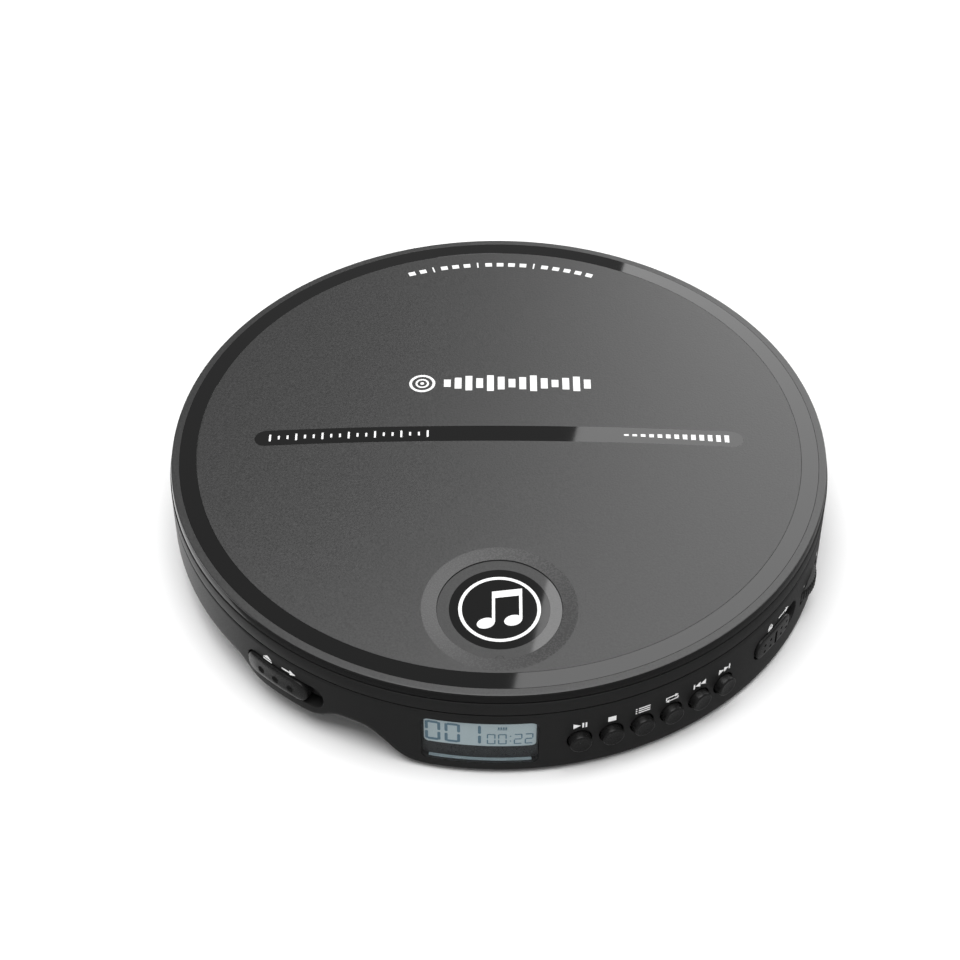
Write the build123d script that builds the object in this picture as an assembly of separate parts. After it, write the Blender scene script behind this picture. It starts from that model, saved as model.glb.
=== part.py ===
from build123d import *
import os
from math import sin, cos, tan, acos, radians, sqrt

# Portable compact-disc player, all sizes in millimetres.
# Origin: on the disc's spin axis, at the level of the surface the feet stand on.
# +Z is up, the display and the keys face -Y, the lid hinge is at +Y.

os.makedirs("parts", exist_ok=True)

# ------------------------------------------------------------------ driving dimensions
APEX = 27.0            # top of the domed lid
DOME_R = 759.0         # radius of the lid's dome
LID_R = 70.1           # edge of the lid's top face
BAND_Z0, BAND_Z1 = 21.75, 23.4     # gloss band round the lid's edge
BODY_R = 70.5          # outside of the cabinet wall
WALL = 1.5             # cabinet wall thickness
IN_R = BODY_R - WALL
DECK_Z0, DECK_Z1 = 19.4, 20.8     # rim deck round the disc well
WALL_Z1 = 21.5         # top of the cabinet wall, just under the lid's band
UP_Z0 = 18.25          # bottom edge of the upper cabinet's wall
LOW_Z1 = 17.95         # top edge of the lower shell's wall (0.3 parting groove)
LOW_Z0 = 0.8           # underside of the lower shell
CORNER_Z = 8.2         # where the vertical wall meets the undercut cone
FLAT_R = 59.5          # radius of the flat underside
RING_I, RING_O = 64.71, 68.4      # gloss ring let into the lid
DISH_Y, DISH_R = -48.53, 15.75    # round dish for the emblem
EMB_O, EMB_I = 12.57, 10.11
STRIP_X0, STRIP_X1, STRIP_Y, STRIP_W = -52.2, 52.8, 0.23, 4.8
# front pod (display, keys, hold, volume) and small pod under the open slider: azimuths in degrees
POD_A0, POD_A1 = -104.0, -10.0
OPOD_A, OPOD_Z = -128.3, 5.4
LCD_A, LCD_W, LCD_Z0, LCD_Z1 = -93.2, 23.3, 3.3, 15.4
KEYS = {"play": -77.0, "stop": -71.6, "program": -66.2, "mode": -60.8, "previous": -55.3, "next": -50.0}
KEY_Z, KEY_R, KEY_TIP, KEY_TRAVEL = 8.85, 2.25, 72.1, 0.8
OPEN_A0, OPEN_A1, OPEN_Z0, OPEN_Z1 = -136.0, -122.9, 8.4, 13.6
OPEN_TRAVEL = 2.6
HOLD_A0, HOLD_A1, HOLD_Z0, HOLD_Z1 = -42.0, -31.9, 7.5, 12.7
HOLD_TRAVEL = 2.9
VOL_A, VOL_C, VOL_R, VOL_Z0, VOL_Z1 = -21.3, 62.2, 9.5, 6.7, 9.6
HINGE_Y, HINGE_Z = 69.0, 20.0
TRAY_Z0, TRAY_Z1 = 16.2, 17.4     # floor of the disc well
DISC_Z = 19.3                     # underside of a loaded disc
ROD_Y, ROD_Z, ROD_R = 12.0, 12.4, 1.0
SCR_Y, SCR_Z, SCR_R = -17.0, 12.0, 1.25
SLED_X0, SLED_TRAVEL, SLED_HL = -24.0, 33.0, 5.5
BAY_X, BAY_Y0, BAY_Y1 = 27.0, 21.5, 51.0       # battery bay inside
DOOR_X, DOOR_AY, DOOR_AZ, DOOR_Y1 = 26.6, 20.1, 1.45, 52.2
CASE_SCREWS = [(34.5, 44.1), (-36.0, 42.9), (34.0, -30.0), (-46.8, -27.0)]
DAMPERS = [(-38.0, -25.0), (-46.0, 17.5), (20.5, 0.0)]
FEET = [(42.0, 34.0), (-42.0, 34.0), (42.0, -34.0), (-42.0, -34.0)]
BOARD_BOSSES = [(-22.0, -45.0), (22.0, -52.0), (47.0, -27.5)]
JACKS = {"headphone_jack": (8.0, 1.8, 2.9), "line_out_jack": (20.0, 1.8, 2.9), "dc_jack": (32.0, 2.1, 3.3)}
JACK_Z = 12.6


# ------------------------------------------------------------------ helpers
def cyl(r, z0, z1, x=0.0, y=0.0):
    return Pos(x, y, (z0 + z1) / 2) * Cylinder(r, z1 - z0)


def ring(ro, ri, z0, z1, x=0.0, y=0.0):
    return cyl(ro, z0, z1, x, y) - cyl(ri, z0 - 1, z1 + 1, x, y)


def box(x0, x1, y0, y1, z0, z1):
    return Pos((x0 + x1) / 2, (y0 + y1) / 2, (z0 + z1) / 2) * Box(x1 - x0, y1 - y0, z1 - z0)


def prism(pts, z0, z1):
    f = make_face(Polyline(*[(x, y, z0) for x, y in pts], close=True))
    return extrude(f, z1 - z0, dir=(0, 0, 1))


def wedge(a0, a1, z0, z1, r=95.0):
    n = max(2, int((a1 - a0) / 40) + 2)
    pts = [(0, 0)] + [(r * cos(radians(a0 + (a1 - a0) * i / (n - 1))), r * sin(radians(a0 + (a1 - a0) * i / (n - 1))))
                      for i in range(n)]
    return prism(pts, z0, z1)


def sector(ri, ro, z0, z1, a0, a1):
    return ring(ro, ri, z0, z1) & wedge(a0, a1, z0 - 1, z1 + 1)


def polar(r, a):
    return r * cos(radians(a)), r * sin(radians(a))


def radial(a, z):
    """Local frame: +Z points outward along azimuth a, +Y is up, at the spin axis."""
    return Plane(origin=(0, 0, z), x_dir=(-sin(radians(a)), cos(radians(a)), 0), z_dir=(cos(radians(a)), sin(radians(a)), 0))


def rad_cyl(a, z, r, r0, r1, side=0.0):
    return radial(a, z) * Pos(side, 0, (r0 + r1) / 2) * Cylinder(r, r1 - r0)


def rad_box(a, z, w, h, r0, r1, side=0.0):
    return radial(a, z) * Pos(side, 0, (r0 + r1) / 2) * Box(w, h, r1 - r0)


def rad_round(a, z, w, h, rr, r0, r1):
    sk = radial(a, z) * Pos(0, 0, r0) * RectangleRounded(w, h, rr)
    return extrude(sk, r1 - r0, dir=(cos(radians(a)), sin(radians(a)), 0))


def x_cyl(r, x0, x1, y, z):
    return Pos((x0 + x1) / 2, y, z) * Rot(0, 90, 0) * Cylinder(r, x1 - x0)


def dome_z(r, t=0.0):
    return APEX - t - (DOME_R - sqrt(DOME_R ** 2 - r * r))


def under_dome(t, r=72.0, z0=12.0):
    """Everything below the dome surface lowered by t, down to z0."""
    arc = ThreePointArc((0, 0, APEX - t), (r / 2, 0, dome_z(r / 2, t)), (r, 0, dome_z(r, t)))
    side = Polyline((r, 0, dome_z(r, t)), (r, 0, z0), (0, 0, z0), (0, 0, APEX - t))
    return revolve(make_face([arc] + list(side.edges())), Axis.Z)


def layer(t0, t1):
    return under_dome(t0) - under_dome(t1, r=73.0, z0=11.0)


def spin(pts):
    return revolve(make_face(Polyline(*[(r, 0, z) for r, z in pts], close=True)), Axis.Z)


def group(items):
    return Compound(children=[s for it in items for s in (it.solids() if hasattr(it, "solids") else [it])])


def one(s):
    sol = s.solids()
    return sol[0] if len(sol) == 1 else Compound(children=list(sol))


NODES = {}


def keep(name, shape):
    NODES[name] = shape


# ------------------------------------------------------------------ lid
emb_r = abs(DISH_Y)
emb_n = Vector(0, DISH_Y / DOME_R, sqrt(1 - (DISH_Y / DOME_R) ** 2))
emb = Plane(origin=(0, DISH_Y, dome_z(emb_r)), x_dir=(1, 0, 0), z_dir=(emb_n.X, emb_n.Y, emb_n.Z))

strip_len = STRIP_X1 - STRIP_X0
strip_c = (STRIP_X0 + STRIP_X1) / 2


def strip_prism(grow):
    f = Pos(strip_c, STRIP_Y, 20) * SlotOverall(strip_len + 2 * grow, STRIP_W + 2 * grow)
    return extrude(f, 10, dir=(0, 0, 1))


skin = (layer(0, 1.5) & cyl(68.55, 15, 30)) + (under_dome(0) & ring(LID_R, 68.4, BAND_Z1, 30))
skin = skin - (layer(-1, 0.8) & ring(RING_O + 0.04, RING_I - 0.04, 15, 30))
skin = skin - (layer(-1, 0.5) & strip_prism(0.04))
dish_cone = emb * Pos(0, 0, -0.155) * Cone(12.62, 12.62 + 0.51 * 12.52, 0.51) + emb * Pos(0, 0, -0.375) * Cylinder(12.62, 0.95)
skin = skin - dish_cone
sx, sy = polar(67.0, 160.0)
skin = skin + (cyl(1.3, 22.0, 23.5, sx, sy) & under_dome(1.0))
keep("lid_latch_tongue", one(sector(66.9, 68.4, 17.2, 23.5, -131.2, -128.7) & under_dome(1.52)))
hinge_relief = x_cyl(2.15, -14.6, 14.6, HINGE_Y, HINGE_Z)
skin = skin - hinge_relief
keep("lid_shell", one(skin))

keep("lid_gloss_ring", one(layer(0.0, 0.78) & ring(RING_O, RING_I, 15, 30)))

band = spin([(68.6, BAND_Z0), (70.35, BAND_Z0), (70.2, BAND_Z1 - 0.25), (70.05, BAND_Z1), (68.6, BAND_Z1)])
ears_x0, ears_x1 = 9.0, 14.0
band = band - hinge_relief
knuckle = x_cyl(1.85, -8.7, 8.7, HINGE_Y, HINGE_Z)
web = box(-8.7, 8.7, 67.0, 70.6, HINGE_Z, BAND_Z1 - 0.05) & ring(70.2, 68.6, 15, 30)
band = band + knuckle + web
band = band - x_cyl(0.80, -9.5, 9.5, HINGE_Y, HINGE_Z)
keep("lid_side_band", one(band))

panel = layer(1.52, 2.3) & cyl(65.6, 12, 30)
panel = panel + (under_dome(2.0) & ring(12.0, 10.2, 22.9, 30))
panel = panel + (under_dome(2.0) & ring(40.6, 39.6, 23.2, 30))
panel = panel + (under_dome(2.0) & ring(65.6, 64.6, 21.3, 30))
for a in range(0, 360, 30):
    panel = panel + (under_dome(2.0) & (Rot(0, 0, a) * box(11.2, 40.1, -0.4, 0.4, 23.5, 26)))
panel = panel - hinge_relief
keep("lid_inner_panel", one(panel))

keep("lid_strip_inlay", one(layer(0.04, 0.48) & strip_prism(0.0)))
ering = emb * Pos(0, 0, -0.72) * Cylinder(EMB_O, 0.24) - emb * Pos(0, 0, -0.4) * Cylinder(EMB_I + 0.04, 2)
ering = ering - emb * Pos(0, -EMB_O, -0.4) * Cylinder(0.9, 2)
keep("emblem_ring", one(ering))
keep("emblem_disc", one(emb * Pos(0, 0, -0.73) * Cylinder(EMB_I, 0.22)))

# ------------------------------------------------------------------ upper cabinet and disc well
deck = ring(IN_R + 0.1, 63.35, DECK_Z0, DECK_Z1)
upper = deck + ring(BODY_R, IN_R, UP_Z0, WALL_Z1)
upper = upper - (ring(66.6 + 2.2, 66.6, DECK_Z0 - 1, DECK_Z1 + 1) & wedge(-131.8, -121.6, 15, 25))
upper = upper - cyl(1.0, 15, 25, sx, sy)
ears = None
for s in (-1, 1):
    e = x_cyl(1.85, min(s * ears_x0, s * ears_x1), max(s * ears_x0, s * ears_x1), HINGE_Y, HINGE_Z)
    e = e + box(min(s * ears_x0, s * ears_x1), max(s * ears_x0, s * ears_x1), 66.0, 70.4, UP_Z0, HINGE_Z)
    ears = e if ears is None else ears + e
upper = upper - (x_cyl(2.15, -9.0, 9.0, HINGE_Y, HINGE_Z) + box(-9.0, 9.0, 66.85, 72, HINGE_Z - 0.2, 22))
upper = upper + (ears & cyl(73, 0, 40))
upper = upper - x_cyl(0.75, -14.5, 14.5, HINGE_Y, HINGE_Z)
upper = upper - box(-6.5, 6.5, 70.1, 71, 18.0, 18.7)
keep("upper_cabinet", one(upper))
keep("hinge_pin", x_cyl(0.75, -13.8, 13.8, HINGE_Y, HINGE_Z))

tray = cyl(64.4, TRAY_Z0, TRAY_Z1) + ring(63.25, 62.0, TRAY_Z1 - 0.5, 20.5)
tray = tray + ring(66.0, 62.6, 18.3, DECK_Z0)
tray = tray - cyl(16.0, 10, 30)
tray = tray - box(-62.7, -18.8, -6.7, 6.7, 10, TRAY_Z1 + 0.001)
tray = tray - box(-BAY_X - 0.2, BAY_X + 0.2, BAY_Y0 - 0.2, BAY_Y1 + 0.2, 10, 16.8)
for x, y in CASE_SCREWS:
    tray = tray + cyl(2.8, 8.05, TRAY_Z0 + 0.3, x, y)
for x, y in CASE_SCREWS:
    tray = tray - cyl(1.15, 8.0, 14.0, x, y)
keep("disc_tray", one(tray))

# ------------------------------------------------------------------ lower shell
FIL = 3.0
dr, dz = BODY_R - FLAT_R, CORNER_Z - LOW_Z0
cone_len = sqrt(dr * dr + dz * dz)
ux, uz = -dr / cone_len, -dz / cone_len            # down the cone from the corner


def shell_profile(off):
    """Half section of the base bowl, inset by off."""
    R = BODY_R - off
    # inner cone line: offset of the outer one
    nx, nz = -uz, ux                                # outward normal of the cone points down and out
    px, pz = BODY_R - off * nx, CORNER_Z - off * nz
    # corner on R
    t = (R - px) / ux
    cz = pz + uz * t
    zb = LOW_Z0 + off
    t2 = (zb - cz) / uz
    fr = R + ux * t2
    rad = max(FIL - off, 0.3)
    th = acos(-uz)                                  # turn from the wall to the cone
    tl = rad * tan(th / 2)
    a = (R, cz + tl)
    b = (R + ux * tl, cz + uz * tl)
    # mid point of the arc
    cx, czc = R - rad, cz + tl
    m = (cx + rad * cos(th / 2), czc - rad * sin(th / 2))
    return R, zb, fr, a, m, b


def shell_solid(off, ztop):
    R, zb, fr, a, m, b = shell_profile(off)
    e1 = Polyline((0, 0, zb), (fr, 0, zb), (b[0], 0, b[1]))
    e2 = ThreePointArc((b[0], 0, b[1]), (m[0], 0, m[1]), (a[0], 0, a[1]))
    e3 = Polyline((a[0], 0, a[1]), (R, 0, ztop), (0, 0, ztop), (0, 0, zb))
    return revolve(make_face(list(e1.edges()) + [e2] + list(e3.edges())), Axis.Z)


def side_prism(a, pts, r0, r1, close_z):
    """Closed outline in the unrolled wall (sideways, height), pushed outward from r0 to r1."""
    pl = radial(a, 0)
    curve = Spline(*[(x, z, 0) for x, z in pts])
    rest = Polyline((pts[-1][0], pts[-1][1], 0), (pts[-1][0], close_z, 0), (pts[0][0], close_z, 0), (pts[0][0], pts[0][1], 0))
    f = make_face([curve] + list(rest.edges()))
    return pl * (Pos(0, 0, r0) * extrude(f, r1 - r0, dir=(0, 0, 1)))


def pod_solid(R, z0, z1, fil):
    c = cyl(R, z0, z1)
    if fil > 0:
        c = fillet(c.edges().sort_by(Axis.Z)[0], fil)
    return c


pod_c = pod_solid(BODY_R, LOW_Z0, 9.9, 1.0)
pod = pod_c & wedge(POD_A0, POD_A1, 0, 12)
s_left = side_prism(-108.0, [(-7.4, 9.85), (-4.9, 8.3), (-2.2, 6.5), (-0.25, 4.9), (1.72, 3.0), (3.57, 1.7), (5.65, 1.0), (8.4, 0.8)], 40, 76, 9.9)
s_right = side_prism(-6.0, [(-8.4, 0.8), (-5.65, 1.0), (-3.57, 1.7), (-1.72, 3.0), (0.25, 4.9), (2.2, 6.5), (4.9, 8.3), (7.4, 9.85)], 40, 76, 9.9)
pod = pod + (pod_c & s_left) + (pod_c & s_right)
opod_c = pod_solid(BODY_R, OPOD_Z, 9.9, 0.8)
opod = opod_c & side_prism(OPOD_A, [(-15.0, 9.8), (-12.6, 8.3), (-10.2, 6.6), (-8.0, 5.6), (-5.0, OPOD_Z), (5.6, OPOD_Z), (8.4, 5.6), (10.4, 6.7), (12.2, 8.3), (14.2, 9.8)], 45, 76, 9.9)
outer = shell_solid(0, LOW_Z1) + (pod & ring(75, 50, 0, 12)) + opod

inner = shell_solid(WALL, LOW_Z1 + 1)
ip = (ring(IN_R, 50, LOW_Z0 + WALL, 10.0) & wedge(POD_A0 + 0.6, POD_A1 - 0.6, 0, 12))
iop = (ring(IN_R, 55, OPOD_Z + 1.3, 10.0) & wedge(OPOD_A - 6.0, OPOD_A + 6.0, 0, 12))
low = outer - inner - ip - iop
# register lip inside the upper cabinet's wall
low = low + (ring(IN_R - 0.12, 68.1, LOW_Z1 - 1.2, 19.2) - (ring(75, 60, 0, 30) & wedge(-133.5, -120.0, 0, 30)) - box(-15, 15, 60, 80, 0, 30) - cyl(2.0, 0, 30, sx, sy))
low = low + (ring(IN_R + 0.3, 68.1, LOW_Z1 - 1.2, LOW_Z1) - (ring(75, 60, 0, 30) & wedge(-133.5, -120.0, 0, 30)) - cyl(2.0, 0, 30, sx, sy))
# rear relief for the lid's hinge knuckle
low = low - (x_cyl(2.2, -9.0, 9.0, HINGE_Y, HINGE_Z))
# bosses
for x, y in CASE_SCREWS:
    low = low + cyl(3.5, LOW_Z0 + 0.5, 8.0, x, y)
for x, y in DAMPERS:
    low = low + cyl(2.6, LOW_Z0 + 0.5, 7.2, x, y)
for x, y in BOARD_BOSSES:
    low = low + cyl(2.0, LOW_Z0 + 0.5, 4.6, x, y)
for x, y in CASE_SCREWS:
    low = low - cyl(2.7, 0, 4.5, x, y) - cyl(1.3, 0, 9, x, y)
for x, y in DAMPERS:
    low = low - cyl(1.1, 2.4, 8, x, y)
for x, y in FEET:
    low = low - cyl(4.1, 0, 1.35, x, y)
# battery opening with rebated rim and hinge sockets
low = low - box(-DOOR_X - 0.25, DOOR_X + 0.25, DOOR_AY - 0.9, DOOR_Y1 + 0.25, 0, 5)
low = low - x_cyl(0.56, -28.4, 28.4, DOOR_AY, DOOR_AZ)
# openings in the wall
low = low - rad_round(LCD_A, (LCD_Z0 + LCD_Z1) / 2, LCD_W + 0.12, LCD_Z1 - LCD_Z0 + 0.12, 1.66, 60, 76)
for n, a in KEYS.items():
    low = low - rad_cyl(a, KEY_Z, KEY_R + 0.3, 60, 76)
low = low - sector(64, 76, OPEN_Z0 - 0.3, OPEN_Z1 + 0.3, OPEN_A0 - 0.3, OPEN_A1 + OPEN_TRAVEL + 0.35)
low = low - sector(64, 76, HOLD_Z0 - 0.25, HOLD_Z1 + 0.25, HOLD_A0 - 0.3, HOLD_A1 + HOLD_TRAVEL + 0.3)
vx, vy = polar(VOL_C, VOL_A)
low = low - cyl(VOL_R + 0.5, VOL_Z0 - 0.3, VOL_Z1 + 0.8, vx, vy)
for n, (a, rb, rn) in JACKS.items():
    low = low - rad_cyl(a, JACK_Z, rn + 0.1, 60, 76)
keep("lower_shell", one(low))

# ------------------------------------------------------------------ display
z_l = (LCD_Z0 + LCD_Z1) / 2
lens = rad_round(LCD_A, z_l, LCD_W, LCD_Z1 - LCD_Z0, 1.6, 60, 76) & ring(BODY_R - 0.05, 68.4, 0, 30)
lens = lens + (rad_round(LCD_A, z_l, LCD_W + 0.8, LCD_Z1 - LCD_Z0 + 1.4, 1.8, 60, 76) & ring(IN_R - 0.06, 68.0, 0, 30))
keep("lcd_window", one(lens))
keep("lcd_module", rad_box(LCD_A, z_l, 22.8, 12.2, 65.2, 66.8))
keep("lcd_light_guide", rad_box(LCD_A, z_l, 22.4, 12.2, 63.9, 65.15))

# ------------------------------------------------------------------ keys
for n, a in KEYS.items():
    k = rad_cyl(a, KEY_Z, KEY_R, 67.9, KEY_TIP)
    k = fillet(k.edges().sort_by(Axis((0, 0, 0), (cos(radians(a)), sin(radians(a)), 0)))[-1], 0.3)
    k = k + rad_cyl(a, KEY_Z, 2.7, 67.9, 68.7) + rad_cyl(a, KEY_Z, 1.0, 65.9, 68.0)
    keep("key_" + n, one(k))
keep("key_board", one(sector(62.3, 63.1, 3.6, 13.6, -80.5, -45.5)))
keep("key_switches", group([rad_box(a, KEY_Z, 3.6, 3.6, 63.15, 64.4) + rad_cyl(a, KEY_Z, 0.9, 64.3, 65.0) for a in KEYS.values()]))

# ------------------------------------------------------------------ open slider with its latch hook
knob = sector(67.0, 71.0, OPEN_Z0, OPEN_Z1, OPEN_A0, OPEN_A1)
zm = (OPEN_Z0 + OPEN_Z1) / 2
for a in (-132.8, -129.6, -126.4):
    knob = knob - (radial(a, 10.3) * Pos(0, 0, 71.55) * Sphere(1.1))
carriage = sector(66.9, 68.75, 9.7, 14.3, -139.4, -121.4)
keep("open_slider", one(knob + carriage))
keep("open_latch_hook", one(sector(66.9, 68.4, 14.3, 19.0, -127.7, -125.4)))
coil = Helix(pitch=0.75, height=4.5, radius=1.1)
wire_r = 0.22
prof = Plane(origin=coil @ 0, z_dir=coil % 0) * Circle(wire_r)
coil_s = sweep(prof, path=coil, is_frenet=True)
csx, csy = polar(67.2, -140.4)
pl_s = Plane(origin=(csx, csy, 12.0), x_dir=(0, 0, 1), z_dir=(sin(radians(-140.0)), -cos(radians(-140.0)), 0))
keep("open_return_spring", one(pl_s * coil_s))

# ------------------------------------------------------------------ hold slider and its switch
hk = sector(67.2, 71.0, HOLD_Z0, HOLD_Z1, HOLD_A0, HOLD_A1)
hm = (HOLD_A0 + HOLD_A1) / 2
hz = (HOLD_Z0 + HOLD_Z1) / 2
hk = hk - rad_box(-36.5, 9.6, 0.7, 3.6, 70.6, 73)
for a in (-39.8, -38.1, -34.8, -33.0):
    for dzz in (8.7, 10.5):
        hk = hk - rad_cyl(a, dzz, 0.3, 70.6, 73)
hk = hk + sector(67.2, 68.75, 9.9, 13.8, HOLD_A0 - 2.0, HOLD_A1 + 2.0)
hk = hk + rad_box(hm, hz, 1.6, 1.6, 65.2, 67.6)
keep("hold_slider", one(hk))
keep("hold_switch", one(rad_box(hm + 1.45, hz, 9.0, 4.6, 61.8, 66.6) - rad_box(hm + 1.45, hz, 6.4, 2.2, 64.6, 70)))

# ------------------------------------------------------------------ volume thumbwheel and potentiometer
wheel = cyl(VOL_R, VOL_Z0, VOL_Z1, vx, vy)
wheel = chamfer(wheel.edges().filter_by(GeomType.CIRCLE), 0.35)
cuts = None
for i in range(48):
    a = radians(i * 7.5)
    c = cyl(0.32, VOL_Z0 - 1, VOL_Z1 + 1, vx + (VOL_R + 0.12) * cos(a), vy + (VOL_R + 0.12) * sin(a))
    cuts = c if cuts is None else cuts + c
wheel = wheel - cuts
wheel = wheel - cyl(1.5, VOL_Z0 - 1, VOL_Z1 + 1, vx, vy)
wheel = wheel + cyl(1.5, VOL_Z0, VOL_Z1, vx, vy) + cyl(1.2, 3.6, VOL_Z0 + 0.2, vx, vy)
keep("volume_wheel", one(wheel))
keep("volume_pot", one(box(vx - 4.8, vx + 4.8, vy - 4.8, vy + 4.8, 2.6, 5.4) - cyl(1.26, 3.4, 8, vx, vy)))

# ------------------------------------------------------------------ sockets
for n, (a, rb, rn) in JACKS.items():
    j = rad_box(a, JACK_Z, 7.2, 6.4, 56.0, 68.4) + rad_cyl(a, JACK_Z, rn, 68.0, 70.3)
    j = j - rad_cyl(a, JACK_Z, rb, 58.0 if rb < 2 else 60.8, 75)
    keep(n, one(j))
keep("dc_centre_pin", rad_cyl(JACKS["dc_jack"][0], JACK_Z, 0.8, 60.8, 66.0))

# ------------------------------------------------------------------ electronics
board = cyl(59.5, 4.6, 5.8) & box(-31.0, 52.0, -62.0, -22.0, 0, 20)
board = board - cyl(3.9, 0, 20, 34.0, -30.0)
board = board - (cyl(8.0, 0, 20, vx, vy))
keep("main_board", one(board))
keep("board_chips", group([box(-12, 0, -44, -32, 5.8, 7.3), box(6, 15, -40, -31, 5.8, 7.0), box(-26, -18, -36, -28, 5.8, 7.1), box(12, 20, -52, -46, 5.8, 7.4)]))
keep("board_capacitors", group([cyl(2.5, 5.8, 11.0, -22, -52 + 11), cyl(2.0, 5.8, 10.2, 26, -36), cyl(3.1, 5.8, 12.4, 4, -50), cyl(2.0, 5.8, 10.2, -7, -50)]))
ribbon = sector(58.8, 59.1, 5.8, 11.0, -72.0, -62.0) + sector(58.8, 62.3, 10.7, 11.0, -72.0, -62.0)
keep("key_ribbon", one(ribbon))

# ------------------------------------------------------------------ battery bay, contacts, door
bw = 1.0
bay = box(-BAY_X - bw, BAY_X + bw, BAY_Y0 - bw, BAY_Y1 + bw, 3.0, TRAY_Z0 - 0.05)
bay = bay - box(-BAY_X, BAY_X, BAY_Y0, BAY_Y1, 0, 20)
keep("battery_bay", one(bay & cyl(60.0, 0, 20)))
ym = (BAY_Y0 + BAY_Y1) / 2
keep("battery_contacts", group([box(-BAY_X, -BAY_X + 0.4, BAY_Y0 + 1.5, BAY_Y1 - 1.5, 4.5, 14.5),
                                box(BAY_X - 0.4, BAY_X, BAY_Y0 + 1.5, ym - 0.8, 4.5, 14.5),
                                box(BAY_X - 0.4, BAY_X, ym + 0.8, BAY_Y1 - 1.5, 4.5, 14.5)]))
bh = Helix(pitch=0.8, height=1.9, radius=3.0)
bprof = Plane(origin=bh @ 0, z_dir=bh % 0) * Circle(0.28)
bs = sweep(bprof, path=bh, is_frenet=True)
keep("battery_springs", group([Plane(origin=(-26.3, 29.0, 9.4), x_dir=(0, 1, 0), z_dir=(1, 0, 0)) * bs,
                               Plane(origin=(26.3, 43.5, 9.4), x_dir=(0, 1, 0), z_dir=(-1, 0, 0)) * bs]))
door = box(-DOOR_X, DOOR_X, DOOR_AY, DOOR_Y1, DOOR_AZ - 0.65, DOOR_AZ + 0.65)
door = door + x_cyl(0.65, -DOOR_X, DOOR_X, DOOR_AY, DOOR_AZ)
for x in (-9, 9):
    door = door - box(x - 0.6, x + 0.6, DOOR_Y1 - 9, DOOR_Y1 - 3, 0, DOOR_AZ - 0.25)
for i in range(4):
    door = door - box(-5, 5, DOOR_Y1 - 4.2 - 1.5 * i, DOOR_Y1 - 3.6 - 1.5 * i, 0, DOOR_AZ - 0.35)
door = door + x_cyl(0.5, -28.2, 28.2, DOOR_AY, DOOR_AZ)
keep("battery_door", one(door))

# ------------------------------------------------------------------ disc mechanism
ch = box(-64.3, 24.0, -20.2, 15.0, 8.2, 9.2) & cyl(67.2, 0, 20)
ch = ch - box(-58, -22, -9, 9, 0, 20) - box(13.5, 30, 5.0, 20, 0, 20) - box(13.5, 30, -30, -5.0, 0, 20)
ch = ch - box(-14.4, -0.8, -22, -12.9, 0, 20)
ch = ch + (box(-42.0, -34.0, -27.0, -20.0, 8.2, 9.2) + cyl(4.0, 8.2, 9.2, -38.0, -25.0)) + cyl(4.0, 8.2, 9.2, -46.0, 17.5) + box(-50, -42, 14, 17.5, 8.2, 9.2)
ch = ch + (box(-64.3, -62.9, -19.4, 14.4, 9.1, 14.4) & cyl(67.2, 0, 20))
ch = ch + box(-16.9, -15.3, 10.0, 14.4, 9.1, 14.4) + box(-16.9, -15.3, -14.4, -10.0, 9.1, 14.4)
ch = ch + box(-15.3, -14.6, -20.2, -13.0, 9.1, 15.4)
for s in (-1, 1):
    ch = ch - x_cyl(ROD_R, -70, -15.0, s * ROD_Y, ROD_Z)
ch = ch - x_cyl(SCR_R + 0.06, -70, -14.0, SCR_Y, SCR_Z)
for x, y in DAMPERS:
    ch = ch - cyl(2.4, 7, 10, x, y)
keep("mechanism_chassis", one(ch))
keep("guide_rods", group([x_cyl(ROD_R, -64.3, -15.3, s * ROD_Y, ROD_Z) for s in (-1, 1)]))
keep("mechanism_dampers", group([cyl(2.3, 7.2, 10.2, x, y) + cyl(3.4, 7.2, 8.2, x, y) + cyl(3.4, 9.2, 10.2, x, y) - cyl(1.1, 5, 12, x, y) for x, y in DAMPERS]))
keep("mechanism_screws", group([cyl(2.0, 10.2, 11.2, x, y) + cyl(1.1, 3.5, 10.3, x, y) - box(x - 1.2, x + 1.2, y - 0.2, y + 0.2, 10.8, 12) for x, y in DAMPERS]))
motor = cyl(11.5, 9.2, 15.4)
motor = fillet(motor.edges().filter_by(GeomType.CIRCLE).sort_by(Axis.Z)[-1], 0.6)
keep("spindle_motor", one(motor - cyl(0.82, 10.0, 16)))
keep("spindle_shaft", cyl(0.75, 10.3, 21.0))
hub = cyl(14.5, 17.7, 18.9) + ring(14.5, 12.6, 18.8, DISC_Z) + cyl(7.3, 18.8, 20.9) + cyl(3.0, 16.4, 17.8)
hub = hub + (Pos(0, 0, 20.9) * Pos(0, 0, 0.5) * Cone(7.3, 6.1, 1.0))
for i in range(3):
    a = 30 + 120 * i
    bx, by = polar(6.75, a)
    hub = hub - (Pos(bx, by, 20.75) * Sphere(1.0))
hub = hub - cyl(0.75, 15, 21.0)
keep("turntable", one(hub))
keep("hub_balls", group([Pos(*polar(6.75, 30 + 120 * i), 20.75) * Sphere(0.95) for i in range(3)]))
smotor = x_cyl(3.6, -14.4, -1.6, SCR_Y, SCR_Z)
keep("sled_motor", one(smotor - x_cyl(SCR_R + 0.06, -15, -8.0, SCR_Y, SCR_Z)))
ls = x_cyl(SCR_R, -64.2, -8.4, SCR_Y, SCR_Z)
keep("lead_screw", ls)
sx0 = SLED_X0
sl = box(sx0 - SLED_HL, sx0 + SLED_HL, -14.2, 14.2, 10.6, 15.9)
sl = sl - box(sx0 - 4.7, sx0 + 4.7, -6.4, 6.4, 12.0, 20)
for s in (-1, 1):
    sl = sl - x_cyl(ROD_R + 0.05, -70, 0, s * ROD_Y, ROD_Z)
keep("pickup_sled", one(sl))
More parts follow.
